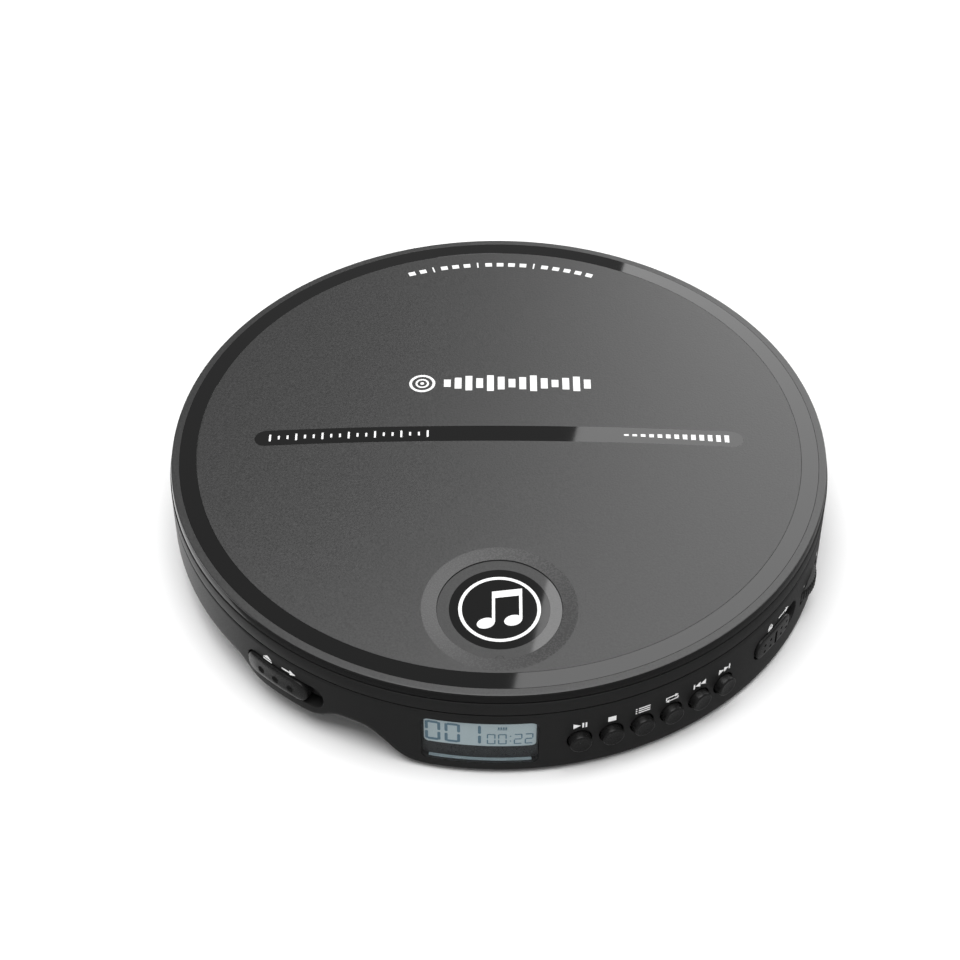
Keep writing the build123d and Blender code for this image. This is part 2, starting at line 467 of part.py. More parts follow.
nut = box(sx0 - 2.5, sx0 + 2.5, -19.2, -14.22, 10.2, 13.8) - x_cyl(SCR_R + 0.08, -70, 0, SCR_Y, SCR_Z)
keep("screw_follower", one(nut))
keep("lens_actuator", one(box(sx0 - 4.4, sx0 + 4.4, -6.0, 6.0, 12.0, 17.2) - cyl(2.1, 16.0, 20, sx0, 0)))
keep("objective_lens", one(Pos(sx0, 0, 0) * cyl(2.1, 16.0, 17.3) + (Pos(sx0, 0, 17.3) * Sphere(1.7) & box(sx0 - 3, sx0 + 3, -3, 3, 17.25, 18.0))))

# ------------------------------------------------------------------ lid switch
psx, psy = sx, sy
body_sw = rad_box(160.0, 15.5, 5.0, 4.2, 64.6, 67.95) - cyl(1.0, 14.2, 20, psx, psy)
keep("lid_switch", one(body_sw))
keep("lid_switch_plunger", one(cyl(0.9, 15.1, 21.6, psx, psy)))

# ------------------------------------------------------------------ screws and feet underneath
scr = []
for x, y in CASE_SCREWS:
    s = cyl(2.3, 2.9, 4.5, x, y) + cyl(1.15, 4.4, 13.0, x, y)
    s = s - box(x - 1.6, x + 1.6, y - 0.25, y + 0.25, 2, 3.7) - box(x - 0.25, x + 0.25, y - 1.6, y + 1.6, 2, 3.7)
    scr.append(s)
keep("case_screws", group(scr))
feet = []
for x, y in FEET:
    f = cyl(4.0, 0.0, 1.35, x, y)
    f = fillet(f.edges().sort_by(Axis.Z)[0], 0.4)
    feet.append(f)
keep("rubber_feet", group(feet))

# ------------------------------------------------------------------ write the nodes
for name, shape in NODES.items():
    export_step(shape, f"parts/{name}.step")
print(len(NODES), "nodes written")
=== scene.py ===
import bpy
import bmesh
from math import sin, cos, tan, acos, radians, degrees, sqrt, pi, atan2, hypot
from mathutils import Vector, Matrix, Euler
from mathutils.geometry import tessellate_polygon


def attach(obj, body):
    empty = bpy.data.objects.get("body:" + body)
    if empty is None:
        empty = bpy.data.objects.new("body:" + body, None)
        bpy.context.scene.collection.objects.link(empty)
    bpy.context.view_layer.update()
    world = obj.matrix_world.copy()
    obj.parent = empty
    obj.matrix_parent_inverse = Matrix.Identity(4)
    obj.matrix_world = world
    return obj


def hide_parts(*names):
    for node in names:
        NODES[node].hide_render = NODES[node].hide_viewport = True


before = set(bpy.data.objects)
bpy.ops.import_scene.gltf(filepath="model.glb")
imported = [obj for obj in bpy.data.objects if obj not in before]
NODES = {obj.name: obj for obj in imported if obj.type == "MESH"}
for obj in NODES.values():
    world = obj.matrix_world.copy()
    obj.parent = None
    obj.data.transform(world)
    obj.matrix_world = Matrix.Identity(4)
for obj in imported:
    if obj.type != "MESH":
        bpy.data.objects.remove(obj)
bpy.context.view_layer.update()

MM = 0.001
scene = bpy.context.scene

# ---------------------------------------------------------------- sizes in millimetres, the same as the CAD frame's
APEX, DOME_R = 27.0, 759.0
LID_R, BAND_Z0, BAND_Z1 = 70.1, 21.75, 23.4
WALL_Z1 = 21.5
BODY_R, IN_R = 70.5, 69.0
UP_Z0, DECK_Z0, DECK_Z1 = 18.25, 19.4, 20.8
LOW_Z1, LOW_Z0, CORNER_Z, FLAT_R = 17.95, 0.8, 8.2, 59.5
RING_I, RING_O = 64.71, 68.4
DISH_Y, DISH_R, EMB_O, EMB_I = -48.53, 15.75, 12.57, 10.11
STRIP_X0, STRIP_X1, STRIP_Y, STRIP_W = -52.5, 52.5, 0.23, 4.8
LCD_A, LCD_W, LCD_Z0, LCD_Z1 = -93.2, 23.3, 3.3, 15.4
KEYS = {"play": -77.0, "stop": -71.6, "program": -66.2, "mode": -60.8, "previous": -55.3, "next": -50.0}
KEY_Z, KEY_R, KEY_TIP = 8.85, 2.25, 72.1
OPEN_A0, OPEN_A1, OPEN_Z0, OPEN_Z1, OPEN_TRAVEL = -136.0, -122.9, 8.4, 13.6, 2.6
HOLD_A0, HOLD_A1, HOLD_Z0, HOLD_Z1, HOLD_TRAVEL = -42.0, -31.9, 7.5, 12.7, 2.9
VOL_A, VOL_C, VOL_R, VOL_Z0, VOL_Z1 = -21.3, 62.2, 9.5, 6.7, 9.6
HINGE_Y, HINGE_Z = 69.0, 20.0
TRAY_Z0, TRAY_Z1, DISC_Z = 16.2, 17.4, 19.3
DOOR_X, DOOR_AY, DOOR_AZ, DOOR_Y1 = 26.6, 20.1, 1.45, 52.2
CASE_SCREWS = [(34.5, 44.1), (-36.0, 42.9), (34.0, -30.0), (-46.8, -27.0)]
FEET = [(42.0, 34.0), (-42.0, 34.0), (42.0, -34.0), (-42.0, -34.0)]
JACKS = {"headphone_jack": (8.0, 1.8, 2.9), "line_out_jack": (20.0, 1.8, 2.9), "dc_jack": (32.0, 2.1, 3.3)}
JACK_Z = 12.6


# ---------------------------------------------------------------- mesh helpers
def tidy(ob, sharp=30.0, merge=2e-7):
    bm = bmesh.new()
    bm.from_mesh(ob.data)
    bmesh.ops.remove_doubles(bm, verts=bm.verts, dist=merge)
    bmesh.ops.dissolve_degenerate(bm, edges=bm.edges, dist=1e-8)
    bmesh.ops.recalc_face_normals(bm, faces=bm.faces)
    lim = radians(sharp)
    for f in bm.faces:
        f.smooth = True
    for e in bm.edges:
        e.smooth = not (len(e.link_faces) == 2 and e.calc_face_angle(0.0) > lim)
    bm.to_mesh(ob.data)
    bm.free()
    ob.data.update()
    return ob


def raw(name, verts, faces):
    me = bpy.data.meshes.new(name)
    me.from_pydata([(x * MM, y * MM, z * MM) for x, y, z in verts], [], faces)
    me.update()
    ob = bpy.data.objects.new(name, me)
    scene.collection.objects.link(ob)
    return ob


def make(name, verts, faces, sharp=30.0):
    return tidy(raw(name, verts, faces), sharp)


def rounded(pts, rad, seg=4):
    """Closed 2-D outline with each corner turned into an arc; rad is one number or one per corner."""
    out = []
    n = len(pts)
    for i in range(n):
        r = rad[i] if isinstance(rad, (list, tuple)) else rad
        p0, p1, p2 = Vector(pts[i - 1]), Vector(pts[i]), Vector(pts[(i + 1) % n])
        a, b = (p0 - p1), (p2 - p1)
        if r <= 0 or a.length < 1e-9 or b.length < 1e-9:
            out.append(tuple(p1))
            continue
        la, lb = a.length, b.length
        a.normalize()
        b.normalize()
        ang = a.angle(b)
        if ang > pi - 0.02 or ang < 0.02:
            out.append(tuple(p1))
            continue
        t = min(r / tan(ang / 2), la * 0.49, lb * 0.49)
        rr = t * tan(ang / 2)
        c = p1 + (a + b).normalized() * (rr / sin(ang / 2))
        s, e = p1 + a * t - c, p1 + b * t - c
        a0 = atan2(s.y, s.x)
        d = atan2(e.y, e.x) - a0
        while d > pi:
            d -= 2 * pi
        while d < -pi:
            d += 2 * pi
        for k in range(seg + 1):
            w = a0 + d * k / seg
            out.append((c.x + rr * cos(w), c.y + rr * sin(w)))
    return out


def spin_mesh(profile, n=288, place=None, closed=True):
    """Solid or ring turned from a closed (radius, height) outline."""
    verts, faces, rings = [], [], []
    for r, z in profile:
        if r < 1e-6:
            rings.append([len(verts)] * n)
            verts.append((0.0, 0.0, z))
        else:
            rings.append(list(range(len(verts), len(verts) + n)))
            verts += [(r * cos(2 * pi * k / n), r * sin(2 * pi * k / n), z) for k in range(n)]
    m = len(profile)
    for i in range(m if closed else m - 1):
        a, b = rings[i], rings[(i + 1) % m]
        for k in range(n):
            k2 = (k + 1) % n
            q = [a[k], a[k2], b[k2], b[k]]
            u = []
            for v in q:
                if v not in u:
                    u.append(v)
            if len(u) >= 3:
                faces.append(u)
    if place:
        verts = [place(*v) for v in verts]
    return verts, faces


def spin(name, profile, n=288, sharp=30.0, place=None):
    return make(name, *spin_mesh(profile, n, place), sharp=sharp)


def radial_place(a, z):
    ca, sa = cos(radians(a)), sin(radians(a))
    return lambda x, y, r: (r * ca - x * sa, r * sa + x * ca, z + y)


def at(x0, y0, z0=0.0):
    return lambda x, y, z: (x + x0, y + y0, z + z0)


def along_x(y0, z0):
    return lambda x, y, z: (z, y0 + x, z0 + y)


def rr_outline(w, h, r, seg=6, step=1.2):
    """Rounded rectangle round the origin, with points along the long sides so it can bend."""
    lim = min(w / 2, h / 2) - 1e-4
    rad = [min(q, lim) for q in r] if isinstance(r, (list, tuple)) else min(r, lim)
    pts = rounded([(-w / 2, -h / 2), (w / 2, -h / 2), (w / 2, h / 2), (-w / 2, h / 2)], rad, seg)
    out = []
    for i, p in enumerate(pts):
        q = pts[(i + 1) % len(pts)]
        k = max(1, int(hypot(q[0] - p[0], q[1] - p[1]) / step))
        out += [(p[0] + (q[0] - p[0]) * j / k, p[1] + (q[1] - p[1]) * j / k) for j in range(k)]
    return out


def stack(name, outlines, place, sharp=30.0, caps=True):
    """Solid from outlines of equal length: [(points, height)], joined in order."""
    n = len(outlines[0][0])
    verts, faces = [], []
    for pts, h in outlines:
        verts += [place(x, y, h) for x, y in pts]
    for i in range(len(outlines) - 1):
        for k in range(n):
            k2 = (k + 1) % n
            faces.append([i * n + k, i * n + k2, (i + 1) * n + k2, (i + 1) * n + k])
    if caps:
        for i in (0, len(outlines) - 1):
            pts, h = outlines[i]
            cx, cy = sum(p[0] for p in pts) / n, sum(p[1] for p in pts) / n
            inner = [[(cx + (x - cx) * f, cy + (y - cy) * f) for x, y in pts] for f in (0.66, 0.33)]
            base = i * n
            prev = [base + k for k in range(n)]
            for ring_pts in inner:
                s = len(verts)
                verts += [place(x, y, h) for x, y in ring_pts]
                for k in range(n):
                    k2 = (k + 1) % n
                    faces.append([prev[k], prev[k2], s + k2, s + k])
                prev = [s + k for k in range(n)]
            c = len(verts)
            verts.append(place(cx, cy, h))
            for k in range(n):
                faces.append([prev[k], prev[(k + 1) % n], c])
    return make(name, verts, faces, sharp)


def grow(pts, d):
    """Moves a rounded outline outward by d, seen from its own normals."""
    n = len(pts)
    out = []
    for i in range(n):
        a, b = Vector(pts[i - 1]), Vector(pts[(i + 1) % n])
        t = (b - a)
        if t.length < 1e-9:
            out.append(pts[i])
            continue
        t.normalize()
        out.append((pts[i][0] + t.y * d, pts[i][1] - t.x * d))
    return out


def bent(a0, z0, R=BODY_R):
    """(sideways along the wall, height, radius) to space."""
    def f(s, z, r):
        w = radians(a0) + s / R
        return (r * cos(w), r * sin(w), z0 + z)
    return f


def dome_z(r):
    return APEX - (DOME_R - sqrt(max(DOME_R ** 2 - r * r, 0)))


def on_dome(x, y, h):
    return (x, y, dome_z(hypot(x, y)) + h)


def cut(ob, cutters, name="cut", solver="EXACT"):
    """Takes the cutters' space out of ob and drops the cutters."""
    bpy.ops.object.select_all(action="DESELECT")
    for c in cutters:
        c.select_set(True)
    bpy.context.view_layer.objects.active = cutters[0]
    if len(cutters) > 1:
        bpy.ops.object.join()
    tool = cutters[0]
    m = ob.modifiers.new(name, "BOOLEAN")
    m.operation, m.object, m.solver = "DIFFERENCE", tool, solver
    m.use_self = len(cutters) > 1
    bpy.context.view_layer.objects.active = ob
    ob.select_set(True)
    bpy.ops.object.modifier_apply(modifier=name)
    bpy.data.objects.remove(tool, do_unlink=True)
    ob.select_set(False)
    return ob


def marks(name, shapes, place, h0=-0.05, h1=0.025):
    """Thin printed shapes: each is a list of (u, v) corners of a small simple polygon."""
    verts, faces = [], []
    for pts in shapes:
        n = len(pts)
        b = len(verts)
        verts += [place(u, v, h0) for u, v in pts] + [place(u, v, h1) for u, v in pts]
        faces.append([b + k for k in range(n)][::-1])
        faces.append([b + n + k for k in range(n)])
        for k in range(n):
            faces.append([b + k, b + (k + 1) % n, b + n + (k + 1) % n, b + n + k])
    ob = raw(name, verts, faces)
    bm = bmesh.new()
    bm.from_mesh(ob.data)
    bmesh.ops.recalc_face_normals(bm, faces=bm.faces)
    bm.to_mesh(ob.data)
    bm.free()
    return ob


def strip_quads(u0, u1, v0, v1, step=1.5):
    k = max(1, int(abs(u1 - u0) / step))
    return [[(u0 + (u1 - u0) * i / k, v0), (u0 + (u1 - u0) * (i + 1) / k, v0),
             (u0 + (u1 - u0) * (i + 1) / k, v1), (u0 + (u1 - u0) * i / k, v1)] for i in range(k)]


def arc_quads(cx, cy, r0, r1, a0, a1, step=5.0):
    k = max(1, int(abs(a1 - a0) / step))
    out = []
    for i in range(k):
        b0, b1 = radians(a0 + (a1 - a0) * i / k), radians(a0 + (a1 - a0) * (i + 1) / k)
        out.append([(cx + r0 * cos(b0), cy + r0 * sin(b0)), (cx + r1 * cos(b0), cy + r1 * sin(b0)),
                    (cx + r1 * cos(b1), cy + r1 * sin(b1)), (cx + r0 * cos(b1), cy + r0 * sin(b1))])
    return out


def disc_poly(cx, cy, r, n=20):
    return [(cx + r * cos(2 * pi * k / n), cy + r * sin(2 * pi * k / n)) for k in range(n)]


def line_quad(p, q, w):
    d = Vector((q[0] - p[0], q[1] - p[1]))
    d.normalize()
    nx, ny = -d.y * w / 2, d.x * w / 2
    return [(p[0] + nx, p[1] + ny), (q[0] + nx, q[1] + ny), (q[0] - nx, q[1] - ny), (p[0] - nx, p[1] - ny)]


def dome_normals(ob, slack=0.012):
    """Gives every face that lies on the dome the sphere's own normals."""
    me = ob.data
    c0 = Vector((0, 0, (APEX - DOME_R) * MM))
    out = [Vector((0, 0, 0))] * len(me.loops)
    for f in me.polygons:
        ok = all(abs(((me.vertices[i].co - c0).length / MM) - DOME_R) < slack for i in f.vertices)
        if ok and f.normal.z > 0.9:
            for li in f.loop_indices:
                out[li] = (me.vertices[me.loops[li].vertex_index].co - c0).normalized()
    me.normals_split_custom_set(out)
    return ob


def ball_normals(ob, centre, radius, axis, slack):
    """Gives every face that lies on a gently crowned surface the normals of its sphere."""
    me = ob.data
    out = [Vector((0, 0, 0))] * len(me.loops)
    for f in me.polygons:
        if f.normal.dot(axis) > 0.995 and all(abs((me.vertices[i].co / MM - centre).length - radius) < slack for i in f.vertices):
            for li in f.loop_indices:
                out[li] = (me.vertices[me.loops[li].vertex_index].co / MM - centre).normalized()
    me.normals_split_custom_set(out)
    return ob


def put(ob, body, mat, nodes=()):
    ob.data.materials.clear()
    ob.data.materials.append(mat)
    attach(ob, body)
    if nodes:
        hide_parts(*nodes)
    return ob


# ---------------------------------------------------------------- materials
def plastic(name, base, rough, grain=2600.0, bump=0.25, depth=2.0e-5, vary=0.10, rough_vary=0.08, wear=0.0, spec=0.5,
            coat=0.0, coat_rough=0.05, speck=0.0, metallic=0.0, ior=1.5, smudge=0.0):
    m = bpy.data.materials.new(name)
    m.use_nodes = True
    nt = m.node_tree
    N, L = nt.nodes, nt.links
    bs = N["Principled BSDF"]
    bs.inputs["Metallic"].default_value = metallic
    bs.inputs["IOR"].default_value = ior
    bs.inputs["Specular IOR Level"].default_value = spec
    bs.inputs["Coat Weight"].default_value = coat
    bs.inputs["Coat Roughness"].default_value = coat_rough
    tc = N.new("ShaderNodeTexCoord")
    big = N.new("ShaderNodeTexNoise")
    big.inputs["Scale"].default_value = 38.0
    big.inputs["Detail"].default_value = 3.0
    fine = N.new("ShaderNodeTexNoise")
    fine.inputs["Scale"].default_value = grain
    fine.inputs["Detail"].default_value = 2.0
    fine.inputs["Roughness"].default_value = 0.6
    L.new(tc.outputs["Object"], big.inputs["Vector"])
    L.new(tc.outputs["Object"], fine.inputs["Vector"])
    # colour: slow variation times fine speckle
    r1 = N.new("ShaderNodeMapRange")
    r1.inputs["To Min"].default_value = 1.0 - vary
    r1.inputs["To Max"].default_value = 1.0 + vary
    L.new(big.outputs["Fac"], r1.inputs["Value"])
    r2 = N.new("ShaderNodeMapRange")
    r2.inputs["From Min"].default_value = 0.3
    r2.inputs["From Max"].default_value = 0.7
    r2.inputs["To Min"].default_value = 1.0 - speck
    r2.inputs["To Max"].default_value = 1.0 + speck
    L.new(fine.outputs["Fac"], r2.inputs["Value"])
    mu = N.new("ShaderNodeMath")
    mu.operation = "MULTIPLY"
    L.new(r1.outputs["Result"], mu.inputs[0])
    L.new(r2.outputs["Result"], mu.inputs[1])
    mix = N.new("ShaderNodeMix")
    mix.data_type = "RGBA"
    mix.blend_type = "MULTIPLY"
    mix.inputs["Factor"].default_value = 1.0
    mix.inputs[6].default_value = (*base, 1.0)
    L.new(mu.outputs["Value"], mix.inputs[7])
    col = mix.outputs[2]
    if wear > 0:
        geo = N.new("ShaderNodeNewGeometry")
        pr = N.new("ShaderNodeMapRange")
        pr.inputs["From Min"].default_value = 0.52
        pr.inputs["From Max"].default_value = 0.62
        L.new(geo.outputs["Pointiness"], pr.inputs["Value"])
        wn = N.new("ShaderNodeMath")
        wn.operation = "MULTIPLY"
        L.new(pr.outputs["Result"], wn.inputs[0])
        L.new(big.outputs["Fac"], wn.inputs[1])
        wm = N.new("ShaderNodeMix")
        wm.data_type = "RGBA"
        wm.inputs[7].default_value = (min(base[0] * (1 + 4 * wear) + 0.02 * wear, 1), min(base[1] * (1 + 4 * wear) + 0.02 * wear, 1), min(base[2] * (1 + 4 * wear) + 0.02 * wear, 1), 1)
        L.new(wn.outputs["Value"], wm.inputs["Factor"])
        L.new(col, wm.inputs[6])
        col = wm.outputs[2]
    L.new(col, bs.inputs["Base Color"])
    rr = N.new("ShaderNodeMapRange")
    rr.inputs["From Min"].default_value = 0.3
    rr.inputs["From Max"].default_value = 0.7
    rr.inputs["To Min"].default_value = max(rough - rough_vary, 0.02)
    rr.inputs["To Max"].default_value = rough + rough_vary
    if smudge > 0:
        sm = N.new("ShaderNodeTexNoise")
        sm.inputs["Scale"].default_value = 90.0
        sm.inputs["Detail"].default_value = 5.0
        sm.inputs["Roughness"].default_value = 0.65
        L.new(tc.outputs["Object"], sm.inputs["Vector"])
        L.new(sm.outputs["Fac"], rr.inputs["Value"])
    else:
        L.new(fine.outputs["Fac"], rr.inputs["Value"])
    L.new(rr.outputs["Result"], bs.inputs["Roughness"])
    if bump > 0:
        bp = N.new("ShaderNodeBump")
        bp.inputs["Strength"].default_value = bump
        bp.inputs["Distance"].default_value = depth
        L.new(fine.outputs["Fac"], bp.inputs["Height"])
        L.new(bp.outputs["Normal"], bs.inputs["Normal"])
    return m


def clear_window(name):
    m = bpy.data.materials.new(name)
    m.use_nodes = True
    nt = m.node_tree
    N, L = nt.nodes, nt.links
    N.remove(N["Principled BSDF"])
    out = N["Material Output"]
    tr = N.new("ShaderNodeBsdfTransparent")
    tr.inputs["Color"].default_value = (0.93, 0.95, 0.96, 1)
    gl = N.new("ShaderNodeBsdfGlossy")
    tc = N.new("ShaderNodeTexCoord")
    nz = N.new("ShaderNodeTexNoise")
    nz.inputs["Scale"].default_value = 160.0
    nz.inputs["Detail"].default_value = 4.0
    mr = N.new("ShaderNodeMapRange")
    mr.inputs["To Min"].default_value = 0.02
    mr.inputs["To Max"].default_value = 0.09
    L.new(tc.outputs["Object"], nz.inputs["Vector"])
    L.new(nz.outputs["Fac"], mr.inputs["Value"])
    L.new(mr.outputs["Result"], gl.inputs["Roughness"])
    lw = N.new("ShaderNodeLayerWeight")
    lw.inputs["Blend"].default_value = 0.5
    pw = N.new("ShaderNodeMath")
    pw.operation = "POWER"
    pw.inputs[1].default_value = 5.0
    L.new(lw.outputs["Facing"], pw.inputs[0])
    fr = N.new("ShaderNodeMapRange")
    fr.inputs["To Min"].default_value = 0.02
    fr.inputs["To Max"].default_value = 0.9
    L.new(pw.outputs["Value"], fr.inputs["Value"])
    mx = N.new("ShaderNodeMixShader")
    L.new(fr.outputs["Result"], mx.inputs[0])
    L.new(tr.outputs["BSDF"], mx.inputs[1])
    L.new(gl.outputs["BSDF"], mx.inputs[2])
    L.new(mx.outputs["Shader"], out.inputs["Surface"])
    return m


def metal(name, base, rough, brush=True, scale=900.0, axis=2):
    m = bpy.data.materials.new(name)
    m.use_nodes = True
    nt = m.node_tree
    N, L = nt.nodes, nt.links
    bs = N["Principled BSDF"]
    bs.inputs["Metallic"].default_value = 1.0
    tc = N.new("ShaderNodeTexCoord")
    mp = N.new("ShaderNodeMapping")
    sc = [1.0, 1.0, 1.0]
    if brush:
        sc[axis] = 0.04
    mp.inputs["Scale"].default_value = sc
    nz = N.new("ShaderNodeTexNoise")
    nz.inputs["Scale"].default_value = scale
    nz.inputs["Detail"].default_value = 3.0
    L.new(tc.outputs["Object"], mp.inputs["Vector"])
    L.new(mp.outputs["Vector"], nz.inputs["Vector"])
    mr = N.new("ShaderNodeMapRange")
    mr.inputs["To Min"].default_value = max(rough - 0.1, 0.03)
    mr.inputs["To Max"].default_value = rough + 0.12
    L.new(nz.outputs["Fac"], mr.inputs["Value"])
    L.new(mr.outputs["Result"], bs.inputs["Roughness"])
    cr = N.new("ShaderNodeMix")
    cr.data_type = "RGBA"
    cr.inputs[6].default_value = (base[0] * 0.82, base[1] * 0.82, base[2] * 0.82, 1)
    cr.inputs[7].default_value = (min(base[0] * 1.12, 1), min(base[1] * 1.12, 1), min(base[2] * 1.12, 1), 1)
    L.new(nz.outputs["Fac"], cr.inputs["Factor"])
    L.new(cr.outputs[2], bs.inputs["Base Color"])
    bp = N.new("ShaderNodeBump")
    bp.inputs["Strength"].default_value = 0.15
    bp.inputs["Distance"].default_value = 1.0e-5
    L.new(nz.outputs["Fac"], bp.inputs["Height"])
    L.new(bp.outputs["Normal"], bs.inputs["Normal"])
    return m


def g(v):
    """sRGB grey or colour 0-255 to linear."""
    t = v if isinstance(v, (tuple, list)) else (v, v, v)
    return tuple(((c / 255) / 12.92 if c / 255 <= 0.04045 else ((c / 255 + 0.055) / 1.055) ** 2.4) for c in t)


M_LID = plastic("lid_textured", g(39), 0.44, grain=2300, bump=0.6, depth=4.0e-5, vary=0.04, rough_vary=0.06, speck=0.36, spec=0.5)
M_GLOSS = plastic("gloss_black_lid", g(12), 0.035, grain=500, bump=0.015, depth=3e-6, vary=0.06, rough_vary=0.012, smudge=1.0, spec=0.5)
M_BAND = plastic("gloss_black_band", g(21), 0.10, grain=600, bump=0.02, depth=4e-6, vary=0.06, rough_vary=0.03, smudge=1.0, spec=0.16, wear=0.06)
M_DISH = plastic("dish_satin", g(54), 0.27, grain=2400, bump=0.05, depth=1.2e-5, vary=0.05, rough_vary=0.04, speck=0.06, spec=0.5)
M_CAP_RING = plastic("emblem_cap_ring", g(66), 0.5, grain=3000, bump=0.3, depth=2.0e-5, vary=0.03, rough_vary=0.05, speck=0.16, spec=0.1, coat=1.0, coat_rough=0.03)
M_BODY = plastic("cabinet_satin_black", g(34), 0.42, grain=3200, bump=0.2, depth=1.6e-5, vary=0.05, rough_vary=0.05, speck=0.06, spec=0.09, wear=0.10)
M_KEY = plastic("key_satin_black", g(23), 0.30, grain=2600, bump=0.12, depth=1.2e-5, vary=0.06, rough_vary=0.06, speck=0.04, spec=0.2, wear=0.12)
M_TRAY = plastic("tray_matte_black", g(34), 0.55, grain=2200, bump=0.4, depth=2.5e-5, vary=0.06, rough_vary=0.07, speck=0.06, spec=0.3, wear=0.1)
M_PRINT = plastic("white_print", g(238), 0.5, grain=4000, bump=0.08, depth=5e-6, vary=0.015, rough_vary=0.05, speck=0.02, spec=0.3)
M_LCD = plastic("lcd_field", g((186, 195, 196)), 0.5, grain=5000, bump=0.03, depth=3e-6, vary=0.02, rough_vary=0.03, speck=0.02, spec=0.2)
M_LCDSEG = plastic("lcd_segment", g((98, 124, 138)), 0.5, grain=5000, bump=0.03, depth=3e-6, vary=0.03, rough_vary=0.03, speck=0.03, spec=0.2)
M_LCDBAND = plastic("lcd_lower_band", g(36), 0.3, grain=2500, bump=0.05, depth=5e-6, vary=0.05, rough_vary=0.05, spec=0.5)
# pale grey-blue: the light guide's own colour, and also a painted highlight on the strip at the display's lower lip
M_GUIDE_AND_LIP_HIGHLIGHT = plastic("light_guide_and_painted_lip_highlight", g((176, 190, 194)), 0.3, grain=2500, bump=0.05, depth=5e-6, vary=0.03, rough_vary=0.05, spec=0.5)
# near-black for the groove lip and the slider carriages: painted shade, darker than the same black plastic elsewhere
M_RECESS_SHADE = plastic("recess_painted_shade", g(14), 0.6, grain=1500, bump=0.2, depth=2e-5, vary=0.1, rough_vary=0.08, spec=0.3)
M_RUBBER = plastic("rubber_foot", g(30), 0.75, grain=1800, bump=0.5, depth=3e-5, vary=0.1, rough_vary=0.1, speck=0.08, spec=0.25, wear=0.2)
M_GLASS = clear_window("lcd_clear_window")
M_STEEL = metal("steel_bright", (0.62, 0.62, 0.63), 0.25, axis=0)
M_ZINC = metal("zinc_sheet", (0.5, 0.51, 0.53), 0.38, axis=1, scale=700)
M_BRASS = metal("brass_turned", (0.72, 0.55, 0.27), 0.25, axis=0)
M_PCB = plastic("solder_mask", g((22, 88, 52)), 0.3, grain=1500, bump=0.1, depth=1e-5, vary=0.15, rough_vary=0.06, spec=0.5)
M_CHIP = plastic("chip_epoxy", g(34), 0.5, grain=2600, bump=0.3, depth=2e-5, vary=0.08, rough_vary=0.06, speck=0.08)
M_CAP = metal("capacitor_can", (0.45, 0.47, 0.52), 0.3, brush=False, scale=1200)
M_NYLON = plastic("nylon_white", g(214), 0.45, grain=2000, bump=0.15, depth=1.5e-5, vary=0.04, rough_vary=0.06, spec=0.4)
M_HUB = plastic("turntable_black", g(40), 0.38, grain=1800, bump=0.2, depth=1.5e-5, vary=0.08, rough_vary=0.06, speck=0.05)
M_RIBBON = plastic("ribbon_film", g((176, 112, 40)), 0.3, grain=900, bump=0.08, depth=1e-5, vary=0.1, rough_vary=0.05)


def optic(name):
    m = plastic(name, g((70, 90, 150)), 0.04, grain=300, bump=0.0, vary=0.12, rough_vary=0.02, spec=0.8, coat=1.0, coat_rough=0.02)
    return m


M_OPTIC = optic("lens_optic_coated")

CAD_MATS = {
    "lid_inner_panel": M_TRAY, "upper_cabinet": M_TRAY, "hinge_pin": M_STEEL, "disc_tray": M_TRAY, "lcd_light_guide": M_GUIDE_AND_LIP_HIGHLIGHT,
    "lcd_module": M_LCD, "key_board": M_PCB, "key_switches": M_NYLON, "open_return_spring": M_STEEL, "hold_switch": M_STEEL,
    "volume_pot": M_CHIP, "headphone_jack": M_CHIP, "line_out_jack": M_CHIP, "dc_jack": M_CHIP, "dc_centre_pin": M_STEEL,
    "main_board": M_PCB, "board_chips": M_CHIP, "board_capacitors": M_CAP, "key_ribbon": M_RIBBON, "battery_bay": M_TRAY,
    "battery_contacts": M_STEEL, "battery_springs": M_STEEL, "battery_door": M_BODY, "mechanism_chassis": M_ZINC,
    "guide_rods": M_STEEL, "mechanism_dampers": M_RUBBER, "mechanism_screws": M_STEEL, "spindle_motor": M_ZINC,
    "spindle_shaft": M_STEEL, "turntable": M_HUB, "hub_balls": M_STEEL, "sled_motor": M_ZINC, "lead_screw": M_BRASS,
    "pickup_sled": M_HUB, "screw_follower": M_NYLON, "lens_actuator": M_CHIP, "objective_lens": M_OPTIC, "lid_switch": M_CHIP,
    "lid_switch_plunger": M_NYLON, "case_screws": M_STEEL, "rubber_feet": M_RUBBER, "lower_shell": M_BODY, "lcd_window": M_GLASS,
    "open_slider": M_KEY, "hold_slider": M_KEY, "volume_wheel": M_KEY, "lid_shell": M_LID, "lid_gloss_ring": M_GLOSS,
    "lid_side_band": M_BAND, "lid_strip_inlay": M_GLOSS, "emblem_ring": M_GLOSS, "emblem_disc": M_GLOSS,
}
for nm, ob in NODES.items():
    mt = CAD_MATS.get(nm, M_KEY)
    ob.data.materials.clear()
    ob.data.materials.append(mt)

# ---------------------------------------------------------------- lid
def dome_profile(r0, r1, t, step=3.0):
    k = max(1, int((r1 - r0) / step))
    return [(r0 + (r1 - r0) * i / k, dome_z(r0 + (r1 - r0) * i / k) - t) for i in range(k + 1)]


